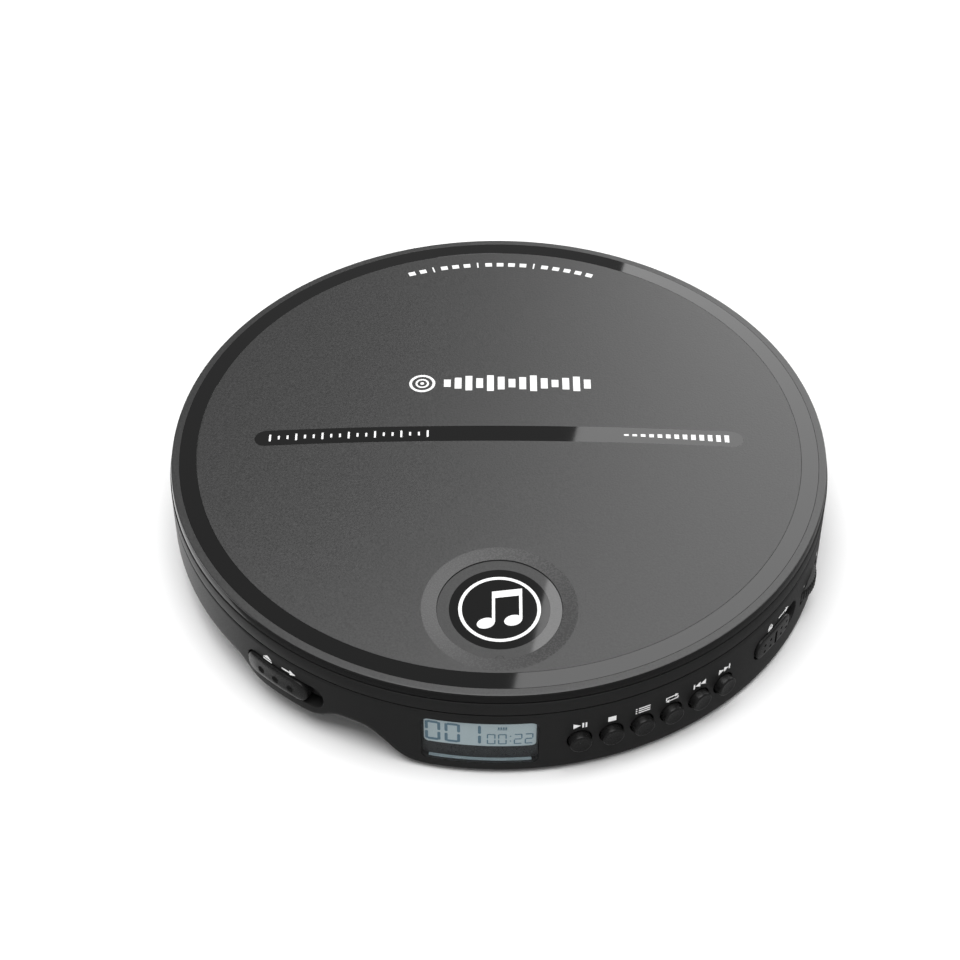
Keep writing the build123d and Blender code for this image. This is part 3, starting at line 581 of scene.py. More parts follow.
top = dome_profile(0.0, RING_I - 0.05, 0.0)
groove = [(RING_I - 0.02, dome_z(RING_I) - 0.04), (RING_I - 0.02, dome_z(RING_I) - 0.8),
          (RING_O + 0.02, dome_z(RING_O) - 0.8), (RING_O + 0.02, dome_z(RING_O) - 0.04)]
rim = [(RING_O + 0.05, dome_z(RING_O + 0.05)), (69.1, dome_z(69.1)), (69.86, dome_z(69.86)), (69.97, dome_z(69.97) - 0.02), (70.06, dome_z(70.06) - 0.07), (LID_R, dome_z(LID_R) - 0.14),
       (LID_R, BAND_Z1 + 0.01), (LID_R - 0.03, BAND_Z1), (68.55, BAND_Z1)]
under = list(reversed(dome_profile(0.0, 68.55, 1.5, 6.0)))
lid = spin("lid_top_skin", top + groove + rim + under, n=384, sharp=18.0)
emb_slope = atan2(abs(DISH_Y), DOME_R)
emb_m = Matrix.Translation(Vector((0, DISH_Y, dome_z(abs(DISH_Y))))) @ Matrix.Rotation(emb_slope, 4, "X")


def on_emb(x, y, z):
    v = emb_m @ Vector((x, y, z))
    return (v.x, v.y, v.z)


def emb_drop(r):
    """How far the dome falls below its tangent plane at the emblem's centre."""
    return DOME_R - sqrt(DOME_R ** 2 - r * r)


PATCH_R, CAP_T, CAP_BEND = 16.05, -0.60, 1500.0
hole = spin("patch_cutter", [(0, -4.0), (PATCH_R, -4.0), (PATCH_R, 2.0), (0, 2.0)], n=240, place=on_emb)
relief = spin("relief_cutter", [(0, -14.6), (2.15, -14.6), (2.15, 14.6), (0, 14.6)], n=48, place=along_x(HINGE_Y, HINGE_Z))
lid = cut(lid, [hole])
lid = cut(lid, [relief])
tidy(lid, 18.0)
dome_normals(lid)
lid.data.materials.clear()
lid.data.materials.append(M_LID)
lid.data.materials.append(M_BAND)
for p in lid.data.polygons:
    if hypot(p.center.x, p.center.y) / MM > 69.99 and p.center.z > 0.0233 and abs(p.normal.z) < 0.62:
        p.material_index = 1
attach(lid, "lid")
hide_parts("lid_shell")
# the dish round the emblem: a shallow cone, a small step down and the pocket for the cap
dp = [(0, -0.86), (12.62, -0.86), (12.62, -0.46), (12.66, -0.415)]
for i in range(1, 11):
    w = i / 10
    dp.append((12.66 + 3.0 * w, -0.415 + 0.245 * w + 0.0))
dp += [(15.72, -0.166), (15.80, -emb_drop(15.80) - 0.001), (15.9, -emb_drop(15.9)), (PATCH_R, -emb_drop(PATCH_R)), (PATCH_R, -1.6), (0, -1.6)]
dish = spin("lid_emblem_dish", dp, n=240, sharp=14.0, place=on_emb)
dome_normals(dish, 0.004)
dish.data.materials.clear()
dish.data.materials.append(M_LID)
dish.data.materials.append(M_DISH)
inv = emb_m.inverted()
for p in dish.data.polygons:
    c = inv @ (p.center / MM)
    if 12.0 < hypot(c.x, c.y) < 15.74 and p.normal.z > 0:
        p.material_index = 1
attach(dish, "lid")

a_t = -129.95
tongue = stack("lid_catch_tongue", [(rr_outline(3.05, 1.5, 0.25, 3), z) for z in (17.2, 17.4, 23.2)],
               lambda s, q, z: ((67.65 + q) * cos(radians(a_t) + s / 67.65), (67.65 + q) * sin(radians(a_t) + s / 67.65), z))
put(tongue, "lid", M_TRAY, ["lid_latch_tongue"])
bx_, by_ = 67.0 * cos(radians(160)), 67.0 * sin(radians(160))
boss = spin("lid_switch_boss", [(0, 22.0), (1.1, 22.0), (1.3, 22.2), (1.3, 23.2), (0, 23.2)], n=40, place=at(bx_, by_))
put(boss, "lid", M_TRAY)

gr = [(RING_I + 0.04, dome_z(RING_I + 0.04)), (66.5, dome_z(66.5)), (RING_O - 0.04, dome_z(RING_O - 0.04)), (RING_O, dome_z(RING_O) - 0.04),
      (RING_O, dome_z(RING_O) - 0.78), (RING_I, dome_z(RING_I) - 0.78), (RING_I, dome_z(RING_I) - 0.04)]
gring = spin("lid_gloss_ring_inlay", gr, n=384, sharp=25.0)
dome_normals(gring)
put(gring, "lid", M_GLOSS, ["lid_gloss_ring"])

band_prof = rounded([(68.6, BAND_Z0), (70.35, BAND_Z0), (70.12, BAND_Z1), (68.6, BAND_Z1)], [0.05, 0.12, 0.03, 0.02], 4)
band = spin("lid_band", band_prof, n=384, sharp=35.0)
relief = spin("relief_cutter2", [(0, -14.6), (2.15, -14.6), (2.15, 14.6), (0, 14.6)], n=48, place=along_x(HINGE_Y, HINGE_Z))
band = cut(band, [relief])
tidy(band, 35.0)
put(band, "lid", M_BAND, ["lid_side_band"])
kn = rounded([(0.80, -8.7), (1.85, -8.7), (1.85, 8.7), (0.80, 8.7)], [0.03, 0.2, 0.2, 0.03], 3)
put(spin("lid_hinge_knuckle", kn, n=64, place=along_x(HINGE_Y, HINGE_Z)), "lid", M_BAND)
web = stack("lid_hinge_web", [(rr_outline(17.2, 1.35, 0.2, 3, 1.0), z) for z in (21.8, 22.4, 23.3)],
            lambda s, q, z: (s, sqrt(max(69.33 ** 2 - s * s, 0)) + q, z))
put(web, "lid", M_BAND)

sl_len, sl_c = STRIP_X1 - STRIP_X0, (STRIP_X0 + STRIP_X1) / 2
so = rr_outline(sl_len, STRIP_W, STRIP_W / 2 - 0.01, 14, 2.0)


def grid_top(name, outline_half, length, centre, width, place, h_top, h_bot, bevel=0.12, nx=96):
    """Flush inlay with rounded ends whose top follows the surface: a grid along its length."""
    verts, faces = [], []
    R = width / 2
    rows = [(-1.0, h_bot, 0.0), (-1.0, h_top - bevel * 0.6, 0.0), (-1.0, h_top - bevel * 0.15, bevel * 0.5), (-1.0, h_top, bevel * 1.2), (0.0, h_top, 0.0), (1.0, h_top, bevel * 1.2), (1.0, h_top - bevel * 0.15, bevel * 0.5), (1.0, h_top - bevel * 0.6, 0.0), (1.0, h_bot, 0.0)]
    xs = []
    ne = 10
    for i in range(ne + 1):
        w = pi / 2 * i / ne
        xs.append((-length / 2 + R * (1 - cos(w)), R * sin(w)))
    for i in range(1, nx):
        xs.append((-length / 2 + R + (length - 2 * R) * i / nx, R))
    for i in range(ne, -1, -1):
        w = pi / 2 * i / ne
        xs.append((length / 2 - R * (1 - cos(w)), R * sin(w)))
    m = len(rows)
    for x, half in xs:
        for s, h, ins in rows:
            hy = max(half - ins, 0.0)
            xx = x
            if half < R - 1e-6:
                side = -1 if x < 0 else 1
                xx = x - side * ins * (1 - half / R)
            verts.append(place(centre[0] + xx, centre[1] + s * hy, h))
    for i in range(len(xs) - 1):
        for j in range(m):
            j2 = (j + 1) % m
            faces.append([i * m + j, i * m + j2, (i + 1) * m + j2, (i + 1) * m + j])
    faces.append(list(range(m)))
    faces.append([(len(xs) - 1) * m + j for j in range(m)][::-1])
    return make(name, verts, faces, 35.0)


strip = grid_top("lid_strip", so, sl_len, (sl_c, STRIP_Y), STRIP_W, on_dome, 0.02, -0.45)
dome_normals(strip, 0.03)
put(strip, "lid", M_GLOSS, ["lid_strip_inlay"])

def cap_z(r):
    return CAP_T - r * r / (2 * CAP_BEND)


er = [(EMB_I + 0.02, -0.84), (EMB_O, -0.84), (EMB_O, cap_z(EMB_O) - 0.07), (EMB_O - 0.02, cap_z(EMB_O) - 0.025)]
er += [(r, cap_z(r)) for r in (EMB_O - 0.07, 11.9, 11.3, 10.7, EMB_I + 0.02)]
ering = spin("emblem_ring_gloss", er, n=200, sharp=35.0, place=on_emb)
notch = spin("notch_cutter", [(0, -1.5), (0.9, -1.5), (0.9, 1.0), (0, 1.0)], n=40, place=lambda x, y, z: on_emb(x, y - EMB_O, z))
ering = cut(ering, [notch])
tidy(ering, 35.0)
cap_c = emb_m @ Vector((0, 0, CAP_T - CAP_BEND))
cap_axis = (emb_m.to_3x3() @ Vector((0, 0, 1))).normalized()
ball_normals(ering, cap_c, CAP_BEND, cap_axis, 0.004)
put(ering, "lid", M_CAP_RING, ["emblem_ring"])
tab = [(0.82 * cos(radians(t)), -EMB_O + 0.06 + 0.80 * sin(radians(t))) for t in range(0, 181, 12)]
tabo = stack("emblem_ring_tab", [(tab, -0.84), (tab, cap_z(12.2))], on_emb)
put(tabo, "lid", M_CAP_RING)
ed = [(r, cap_z(r)) for r in (0.0, 2.0, 4.0, 6.0, 8.0, EMB_I)] + [(EMB_I, -0.84), (0, -0.84)]
edisc = spin("emblem_centre_disc", ed, n=200, sharp=35.0, place=on_emb)
ball_normals(edisc, cap_c, CAP_BEND, cap_axis, 0.004)
put(edisc, "lid", M_GLOSS, ["emblem_disc"])

# ---------------------------------------------------------------- printed marks on the lid, all generic
white = []
WY = 16.4
white += arc_quads(-16.75, WY, 2.25, 2.85, 0, 360, 10)
white += arc_quads(-16.75, WY, 1.05, 1.5, 0, 360, 20)
white.append(disc_poly(-16.75, WY, 0.42, 12))
bars = [2.4, 3.6, 4.8, 3.2, 5.2, 4.2, 2.8, 4.0, 5.2, 3.4, 2.4, 3.8, 4.8, 3.0]
x = -12.0
for i, h in enumerate(bars):
    white += strip_quads(x, x + 1.5, WY - h / 2, WY + h / 2)
    x += 2.36
put(marks("print_level_bars", white, on_dome), "lid", M_PRINT)

arc = []
a = 110.2
for size in (2, 3, 4, 5):
    for k in range(size):
        arc += arc_quads(0, 0, 59.25, 60.65, a, a - 1.5, 1.6)
        a -= 2.55
    if size < 5:
        a -= 0.45
        arc += arc_quads(0, 0, 58.95, 60.95, a, a - 0.32, 1.0)
        a -= 1.85
put(marks("print_rear_scale", arc, on_dome), "lid", M_PRINT)

st = []
for i in range(19):
    x = -49.3 + i * 1.88
    h = 1.0 if i % 3 == 0 else 0.55
    st.append([(x, STRIP_Y - h), (x + 0.42, STRIP_Y - h), (x + 0.42, STRIP_Y + h), (x, STRIP_Y + h)])
for i in range(13):
    x = 26.8 + i * 1.8
    h = 0.25 + 0.07 * i
    st.append([(x, STRIP_Y - h), (x + 1.0, STRIP_Y - h), (x + 1.0, STRIP_Y + h), (x, STRIP_Y + h)])
put(marks("print_strip_marks", st, lambda x, y, h: on_dome(x, y, h + 0.02)), "lid", M_PRINT)

gl = []
gl += arc_quads(0, 0, 7.55, 8.25, 0, 360, 4.0)
for cx, cy in ((-2.75, -3.6), (2.7, -2.85)):
    pts = []
    for i in range(24):
        w = 2 * pi * i / 24
        px, py = 1.85 * cos(w), 1.3 * sin(w)
        c_, s_ = cos(radians(20)), sin(radians(20))
        pts.append((cx + px * c_ - py * s_, cy + px * s_ + py * c_))
    gl.append(pts)
st2 = [[(-1.52, -3.3), (-0.90, -3.3), (-0.90, 2.80), (-1.52, 2.71)], [(3.92, -2.5), (4.54, -2.5), (4.54, 3.56), (3.92, 3.47)],
       [(-1.52, 2.7), (4.54, 3.55), (4.54, 5.25), (-1.52, 4.4)]]
put(marks("print_note_heads", gl, lambda x, y, h: on_emb(x, y, cap_z(hypot(x, y)) + h)), "lid", M_PRINT)
put(marks("print_note_stems", st2, lambda x, y, h: on_emb(x, y, cap_z(hypot(x, y)) + h + 0.006)), "lid", M_PRINT)

# ---------------------------------------------------------------- upper cabinet wall
up_prof = rounded([(63.35, DECK_Z0), (IN_R, DECK_Z0), (IN_R, UP_Z0), (BODY_R, UP_Z0), (BODY_R, WALL_Z1), (IN_R + 0.05, WALL_Z1), (IN_R + 0.05, DECK_Z1), (63.35, DECK_Z1)], [0.05, 0.0, 0.05, 0.14, 0.12, 0.1, 0.1, 0.25], 4)
upper = spin("cabinet_upper", up_prof, n=384, sharp=32.0)
cutters = [spin("c1", [(0, -9.0), (2.15, -9.0), (2.15, 9.0), (0, 9.0)], n=48, place=along_x(HINGE_Y, HINGE_Z)),
           stack("c2", [(rr_outline(18.0, 5.2, 0.2, 3, 2.0), z) for z in (HINGE_Z - 0.2, 22.5)], at(0, 69.5)),
           stack("c3", [(rr_outline(12.2, 2.2, 0.4, 4, 0.8), z) for z in (17, 23)],
                 lambda s, q, z: ((67.7 + q) * cos(radians(-126.7) + s / 67.7), (67.7 + q) * sin(radians(-126.7) + s / 67.7), z)),
           spin("c4", [(0, 15), (1.0, 15), (1.0, 25), (0, 25)], n=32, place=at(bx_, by_))]
upper = cut(upper, cutters)
tidy(upper, 32.0)
put(upper, "cabinet", M_BODY, ["upper_cabinet"])
for i, s in enumerate((-1, 1)):
    e = rounded([(0.76, s * 9.0), (1.85, s * 9.0), (1.85, s * 14.0), (0.76, s * 14.0)], [0.02, 0.2, 0.2, 0.02], 3)
    ear = spin("hinge_ear_%d" % i, e, n=64, place=along_x(HINGE_Y, HINGE_Z))
    put(ear, "cabinet", M_BODY)
    blk = stack("hinge_ear_base_%d" % i, [(rr_outline(5.0, 4.2, 0.3, 3, 1.0), z) for z in (18.3, 19.9)], at(s * 11.5, 68.2))
    put(blk, "cabinet", M_BODY)

# ---------------------------------------------------------------- lower shell with its pods
def ease(t):
    t = max(0.0, min(1.0, t))
    return t * t * (3 - 2 * t)


S_CURVE = [(-7.4, 8.2), (-4.9, 7.9), (-2.2, 6.15), (-0.25, 4.55), (1.72, 2.75), (3.57, 1.5), (5.65, 0.95), (8.4, 0.8)]


def interp(tab, x):
    if x <= tab[0][0]:
        return tab[0][1]
    for (x0, y0), (x1, y1) in zip(tab, tab[1:]):
        if x <= x1:
            return y0 + (y1 - y0) * (x - x0) / (x1 - x0)
    return tab[-1][1]


def smooth_tab(tab, n=60):
    """Linear resampling smoothed fourteen times with a 1-2-1 filter so the outline has no corners."""
    xs = [tab[0][0] + (tab[-1][0] - tab[0][0]) * i / n for i in range(n + 1)]
    vals = [interp(tab, x) for x in xs]
    for _ in range(14):
        vals = [vals[0]] + [(vals[i - 1] + 2 * vals[i] + vals[i + 1]) / 4 for i in range(1, n)] + [vals[-1]]
    return list(zip(xs, vals))


S_SM = smooth_tab(S_CURVE)
O_SM = smooth_tab([(-16.0, 8.2), (-13.2, 8.1), (-11.4, 7.4), (-9.6, 6.4), (-8.0, 5.7), (-6.0, 5.4), (6.6, 5.4), (8.4, 5.7), (10.0, 6.5), (11.6, 7.5), (13.0, 8.1), (16.0, 8.2)], 90)


def corner(a):
    """Height of the wall's lower corner, and its fillet radius, at azimuth a."""
    zc = CORNER_Z
    if -125 < a < -60:
        zc = interp(S_SM, (a + 108.0) * pi / 180 * BODY_R)
    elif -60 <= a < -30:
        zc = LOW_Z0
    elif -30 <= a < 12:
        zc = interp(S_SM, -(a + 6.0) * pi / 180 * BODY_R)
    if -150 < a < -110:
        zo = interp(O_SM, (a + 128.3) * pi / 180 * BODY_R)
        zc = min(zc, zo)
    depth = (CORNER_Z - zc) / (CORNER_Z - LOW_Z0)
    rf = 3.0 + (1.0 - 3.0) * min(1.0, depth * 1.6)
    if -150 < a < -114:
        rf = 3.0 - 2.1 * min(1.0, (CORNER_Z - zc) / 2.8)
    return zc, rf


NSEG = 720
verts, faces = [], []
cols = []
for k in range(NSEG):
    a = -180 + 360 * k / NSEG
    zc, rf = corner(a)
    ex, ez = FLAT_R - BODY_R, LOW_Z0 - zc
    if -150 < a < -114 and zc < CORNER_Z - 0.01:
        pass
    L_ = hypot(ex, ez)
    ux_, uz_ = ex / L_, ez / L_
    th = acos(max(-1.0, min(1.0, -uz_)))
    tl = rf * tan(th / 2)
    col = [(IN_R - 0.02, LOW_Z1), (BODY_R - 0.16, LOW_Z1), (BODY_R - 0.045, LOW_Z1 - 0.045), (BODY_R, LOW_Z1 - 0.16)]
    z_hi, z_lo = LOW_Z1 - 0.16, zc + tl
    for i in range(1, 12):
        col.append((BODY_R, z_hi + (z_lo - z_hi) * i / 12))
    cx_, cz_ = BODY_R - rf, zc + tl
    for i in range(9):
        w = th * i / 8
        col.append((cx_ + rf * cos(w), cz_ - rf * sin(w)))
    bx0, bz0 = BODY_R + ux_ * tl, zc + uz_ * tl
    for i in range(1, 6):
        col.append((bx0 + (FLAT_R + 0.8 - bx0) * i / 6, bz0 + (LOW_Z0 + (zc - LOW_Z0) * 0.8 / (BODY_R - FLAT_R) - bz0) * i / 6))
    col += [(FLAT_R + 0.35, LOW_Z0 + 0.35 * (zc - LOW_Z0) / (BODY_R - FLAT_R)), (FLAT_R - 0.4, LOW_Z0)]
    col += [(50.0, LOW_Z0), (40.0, LOW_Z0), (28.0, LOW_Z0), (14.0, LOW_Z0)]
    cols.append(col)
m_rows = len(cols[0])
for k in range(NSEG):
    w = radians(-180 + 360 * k / NSEG)
    verts += [(r * cos(w), r * sin(w), z) for r, z in cols[k]]
c_out = len(verts)
verts.append((0, 0, LOW_Z0))
for k in range(NSEG):
    k2 = (k + 1) % NSEG
    for j in range(m_rows - 1):
        faces.append([k * m_rows + j, k * m_rows + j + 1, k2 * m_rows + j + 1, k2 * m_rows + j])
    faces.append([k * m_rows + m_rows - 1, c_out, k2 * m_rows + m_rows - 1])
inner_prof = [(IN_R - 0.02, LOW_Z1), (IN_R - 0.02, 10.4), (68.2, 9.4), (58.6, 2.3), (40.0, 2.3), (20.0, 2.3)]
b = len(verts)
mi = len(inner_prof) - 1
for k in range(NSEG):
    w = radians(-180 + 360 * k / NSEG)
    verts += [(r * cos(w), r * sin(w), z) for r, z in inner_prof[1:]]
c_in = len(verts)
verts.append((0, 0, 2.3))
for k in range(NSEG):
    k2 = (k + 1) % NSEG
    faces.append([k * m_rows, k2 * m_rows, b + k2 * mi, b + k * mi])
    for j in range(mi - 1):
        faces.append([b + k * mi + j, b + k2 * mi + j, b + k2 * mi + j + 1, b + k * mi + j + 1])
    faces.append([b + k * mi + mi - 1, b + k2 * mi + mi - 1, c_in])
shell = raw("cabinet_lower", verts, faces)
tidy(shell, 30.0)


def flared(name, w, h, r, place, r_in, r_out, surf, flare=0.18):
    o = rr_outline(w, h, r, 8, 1.0)
    return stack(name, [(o, r_in), (o, surf - flare), (grow(o, flare * 0.35), surf - flare * 0.35), (grow(o, flare), surf + 0.01), (grow(o, flare * 1.2), r_out)], place)


cutters = [flared("k_lcd", LCD_W + 0.16, LCD_Z1 - LCD_Z0 + 0.16, 1.66, bent(LCD_A, (LCD_Z0 + LCD_Z1) / 2), 60, 74, BODY_R, 0.12)]
for n_, a in KEYS.items():
    pr = [(0, 60), (KEY_R + 0.3, 60), (KEY_R + 0.3, 70.2), (KEY_R + 0.34, 70.36), (KEY_R + 0.48, 70.56), (KEY_R + 0.52, 74), (0, 74)]
    cutters.append(spin("k_" + n_, pr, n=64, place=radial_place(a, KEY_Z)))
ow = (OPEN_A1 + OPEN_TRAVEL + 0.35 - (OPEN_A0 - 0.3)) * pi / 180 * BODY_R
oa = (OPEN_A1 + OPEN_TRAVEL + 0.35 + OPEN_A0 - 0.3) / 2
cutters.append(flared("k_open", ow, OPEN_Z1 - OPEN_Z0 + 0.6, [2.4, 2.8, 2.8, 2.4], bent(oa, (OPEN_Z0 + OPEN_Z1) / 2), 60, 74, BODY_R, 0.2))
hw = (HOLD_A1 + HOLD_TRAVEL + 0.3 - (HOLD_A0 - 0.3)) * pi / 180 * BODY_R
ha = (HOLD_A1 + HOLD_TRAVEL + 0.3 + HOLD_A0 - 0.3) / 2
cutters.append(flared("k_hold", hw, HOLD_Z1 - HOLD_Z0 + 0.5, [2.2, 2.6, 2.6, 2.2], bent(ha, (HOLD_Z0 + HOLD_Z1) / 2), 60, 74, BODY_R, 0.2))
vx, vy = VOL_C * cos(radians(VOL_A)), VOL_C * sin(radians(VOL_A))
cutters.append(spin("k_vol", [(0, VOL_Z0 - 0.3), (VOL_R + 0.5, VOL_Z0 - 0.3), (VOL_R + 0.5, VOL_Z1 + 0.8), (0, VOL_Z1 + 0.8)], n=120, place=at(vx, vy)))
for n_, (a, rb, rn) in JACKS.items():
    pr = [(0, 60), (rn + 0.1, 60), (rn + 0.1, 70.2), (rn + 0.4, 70.55), (rn + 0.4, 74), (0, 74)]
    cutters.append(spin("k_" + n_, pr, n=64, place=radial_place(a, JACK_Z)))
cutters.append(spin("k_rear", [(0, -9.0), (2.2, -9.0), (2.2, 9.0), (0, 9.0)], n=48, place=along_x(HINGE_Y, HINGE_Z)))
cutters.append(stack("k_door", [(rr_outline(2 * DOOR_X + 0.5, DOOR_Y1 + 0.25 - DOOR_AY + 0.9, 0.5, 4, 4.0), z) for z in (-1.0, 5.0)],
                     at(0, (DOOR_Y1 + 0.25 + DOOR_AY - 0.9) / 2)))
for i, (x, y) in enumerate(CASE_SCREWS):
    cutters.append(spin("k_s%d" % i, [(0, -1), (3.0, -1), (3.0, 0.75), (2.7, 1.05), (2.7, 4.5), (0, 4.5)], n=48, place=at(x, y)))
for i, (x, y) in enumerate(FEET):
    cutters.append(spin("k_f%d" % i, [(0, -1), (4.35, -1), (4.35, 0.7), (4.1, 0.95), (4.1, 1.35), (0, 1.35)], n=56, place=at(x, y)))
shell = cut(shell, cutters)
tidy(shell, 30.0)
put(shell, "cabinet", M_BODY, ["lower_shell"])
# register lip seen in the parting groove, coloured near-black as painted shade in the groove
lip = spin("cabinet_lip", [(68.1, 16.8), (IN_R - 0.12, 16.8), (IN_R - 0.12, 19.2), (68.1, 19.2)], n=240)
lc = stack("k_lip", [(rr_outline(18.0, 6.0, 0.2, 3, 1.0), z) for z in (10, 25)],
           lambda s, q, z: ((68 + q) * cos(radians(-126.8) + s / 68), (68 + q) * sin(radians(-126.8) + s / 68), z))
lc2 = stack("k_lip2", [(rr_outline(30.0, 12.0, 0.2, 3, 3.0), z) for z in (10, 25)], at(0, 68))
lc3 = spin("k_lip3", [(0, 10), (2.0, 10), (2.0, 25), (0, 25)], n=32, place=at(bx_, by_))
lip = cut(lip, [lc, lc2, lc3])
tidy(lip, 30)
put(lip, "cabinet", M_RECESS_SHADE)
lin = []

# ---------------------------------------------------------------- display
zc_l, h_l = (LCD_Z0 + LCD_Z1) / 2, LCD_Z1 - LCD_Z0
B = bent(LCD_A, zc_l)
o = rr_outline(LCD_W, h_l, 1.6, 8, 0.8)
win = stack("display_window", [(o, 69.75), (o, 70.28), (grow(o, -0.06), 70.37), (grow(o, -0.2), 70.42)], B, 35.0)
put(win, "cabinet", M_GLASS, ["lcd_window"])
bez = stack("display_bezel", [(grow(o, 0.04), 68.6), (grow(o, 0.04), 69.3)], B, 35.0)
put(bez, "cabinet", M_LCDBAND)
lz0, lz1 = 7.65, 15.15
lo = rr_outline(22.7, lz1 - lz0, 0.95, 6, 0.8)
lcd = stack("display_lcd", [(lo, 69.25), (lo, 69.52), (grow(lo, -0.05), 69.56)], bent(LCD_A, (lz0 + lz1) / 2), 35.0)
put(lcd, "cabinet", M_LCD, ["lcd_module"])
# pale strip along the window's lower lip: a painted highlight for the bright edge of the lip
ge = stack("display_painted_lip_highlight", [(rr_outline(20.9, 0.42, 0.18, 3, 0.8), 69.25), (rr_outline(20.9, 0.42, 0.18, 3, 0.8), 69.72)], bent(LCD_A, 3.5), 35.0)
put(ge, "cabinet", M_GUIDE_AND_LIP_HIGHLIGHT)

SEG = {"0": "abcdef", "1": "bc", "2": "abged"}


def digit(ch, x0, y0, w, h, t, s=0.12):
    """Seven-segment digit, lower left corner x0, y0; x runs to the reader's right."""
    out = []
    for k in SEG[ch]:
        if k in "agd":
            y = {"a": y0 + h - t, "g": y0 + h / 2 - t / 2, "d": y0}[k]
            out.append([(x0 + t * 0.55, y + t / 2), (x0 + t, y + t), (x0 + w - t, y + t), (x0 + w - t * 0.55, y + t / 2), (x0 + w - t, y), (x0 + t, y)])
        else:
            x = x0 if k in "ef" else x0 + w - t
            ya, yb = (y0 + h / 2, y0 + h) if k in "fb" else (y0, y0 + h / 2)
            ya, yb = ya + t * 0.55 + (s if k in "fb" else 0), yb - t * 0.55 - (0 if k in "fb" else s)
            out.append([(x, ya), (x + t / 2, ya - t * 0.35), (x + t, ya), (x + t, yb), (x + t / 2, yb + t * 0.35), (x, yb)])
    return out


segs = []
mirror = 1.0
for i, ch in enumerate("001"):
    segs += digit(ch, (-11.1, -7.1, -2.9)[i], 8.25 - zc_l, 3.15, 5.75, 0.62)
for i, ch in enumerate("00"):
    segs += digit(ch, 1.4 + i * 2.25, 8.3 - zc_l, 1.75, 3.1, 0.27)
for i, ch in enumerate("22"):
    segs += digit(ch, 6.8 + i * 2.2, 8.3 - zc_l, 1.75, 3.1, 0.27)
for yy in (9.1, 10.6):
    segs.append([(6.0, yy - zc_l), (6.28, yy - zc_l), (6.28, yy + 0.28 - zc_l), (6.0, yy + 0.28 - zc_l)])
for i in range(4):
    segs.append([(3.6 + i * 0.5, 12.9 - zc_l), (3.95 + i * 0.5, 12.9 - zc_l), (3.95 + i * 0.5, 13.5 - zc_l), (3.6 + i * 0.5, 13.5 - zc_l)])
segs.append([(3.5, 12.65 - zc_l), (5.5, 12.65 - zc_l), (5.5, 12.77 - zc_l), (3.5, 12.77 - zc_l)])
put(marks("display_digits", segs, lambda u, v, h: B(u, v, 69.56 + h), -0.04, 0.02), "cabinet", M_LCDSEG)

# ---------------------------------------------------------------- keys
for n_, a in KEYS.items():
    pr = [(0, KEY_TIP - 0.10), (1.0, KEY_TIP - 0.085), (1.65, KEY_TIP - 0.03), (1.85, KEY_TIP), (2.0, KEY_TIP - 0.02), (2.15, KEY_TIP - 0.12), (KEY_R, KEY_TIP - 0.34),
          (KEY_R, 68.7), (2.7, 68.7), (2.7, 67.9), (1.0, 67.9), (1.0, 65.95), (0, 65.95)]
    put(spin("button_" + n_, pr, n=72, sharp=35.0, place=radial_place(a, KEY_Z)), "button_" + n_, M_KEY, ["key_" + n_])

wall = []
ICON_Z = 13.05


def icon(a, shapes, z=ICON_Z, scale=1.0):
    for p in shapes:
        wall.append(([(u * scale, v * scale) for u, v in p], a, z))


tri = lambda x0, x1, h: [(x0, -h), (x1, 0), (x0, h)]
icon(KEYS["play"], [tri(-1.35, 0.15, 0.72), [(0.45, -0.7), (0.8, -0.7), (0.8, 0.7), (0.45, 0.7)], [(1.1, -0.7), (1.45, -0.7), (1.45, 0.7), (1.1, 0.7)]])
icon(KEYS["stop"], [[(-0.85, -0.68), (0.85, -0.68), (0.85, 0.68), (-0.85, 0.68)]])
lst = []
for i in range(3):
    y = 0.62 - i * 0.62
    lst += [[(-1.6, y - 0.14), (-1.3, y - 0.14), (-1.3, y + 0.14), (-1.6, y + 0.14)], [(-0.95, y - 0.14), (1.6, y - 0.14), (1.6, y + 0.14), (-0.95, y + 0.14)]]
icon(KEYS["program"], lst)
loop = [[(-1.3, 0.42), (0.75, 0.42), (0.75, 0.7), (-1.3, 0.7)], [(-1.6, -0.25), (-1.3, -0.25), (-1.3, 0.7), (-1.6, 0.7)], [(0.75, 0.06), (1.6, 0.56), (0.75, 1.06)],
        [(-0.75, -0.7), (1.3, -0.7), (1.3, -0.42), (-0.75, -0.42)], [(1.3, -0.7), (1.6, -0.7), (1.6, 0.1), (1.3, 0.1)], [(-0.75, -1.06), (-0.75, -0.06), (-1.6, -0.56)]]
icon(KEYS["mode"], loop, scale=0.92)
icon(KEYS["previous"], [[(-1.6, -0.7), (-1.25, -0.7), (-1.25, 0.7), (-1.6, 0.7)], [(-1.15, 0), (0.1, -0.72), (0.1, 0.72)], [(0.15, 0), (1.5, -0.72), (1.5, 0.72)]])
icon(KEYS["next"], [[(1.25, -0.7), (1.6, -0.7), (1.6, 0.7), (1.25, 0.7)], [(-1.5, -0.72), (-0.15, 0), (-1.5, 0.72)], [(-0.1, -0.72), (1.15, 0), (-0.1, 0.72)]])
# open: an eject sign and an arrow
ej = [[(-3.0, -0.1), (-0.6, -0.1), (-1.8, 0.85)], [(-3.0, -0.75), (-0.6, -0.75), (-0.6, -0.4), (-3.0, -0.4)]]
arr = [[(2.2, -0.2), (4.3, -0.2), (4.3, 0.2), (2.2, 0.2)], [(4.3, -0.7), (5.8, 0.0), (4.3, 0.7)]]
icon(-130.0, ej + arr, z=14.8)
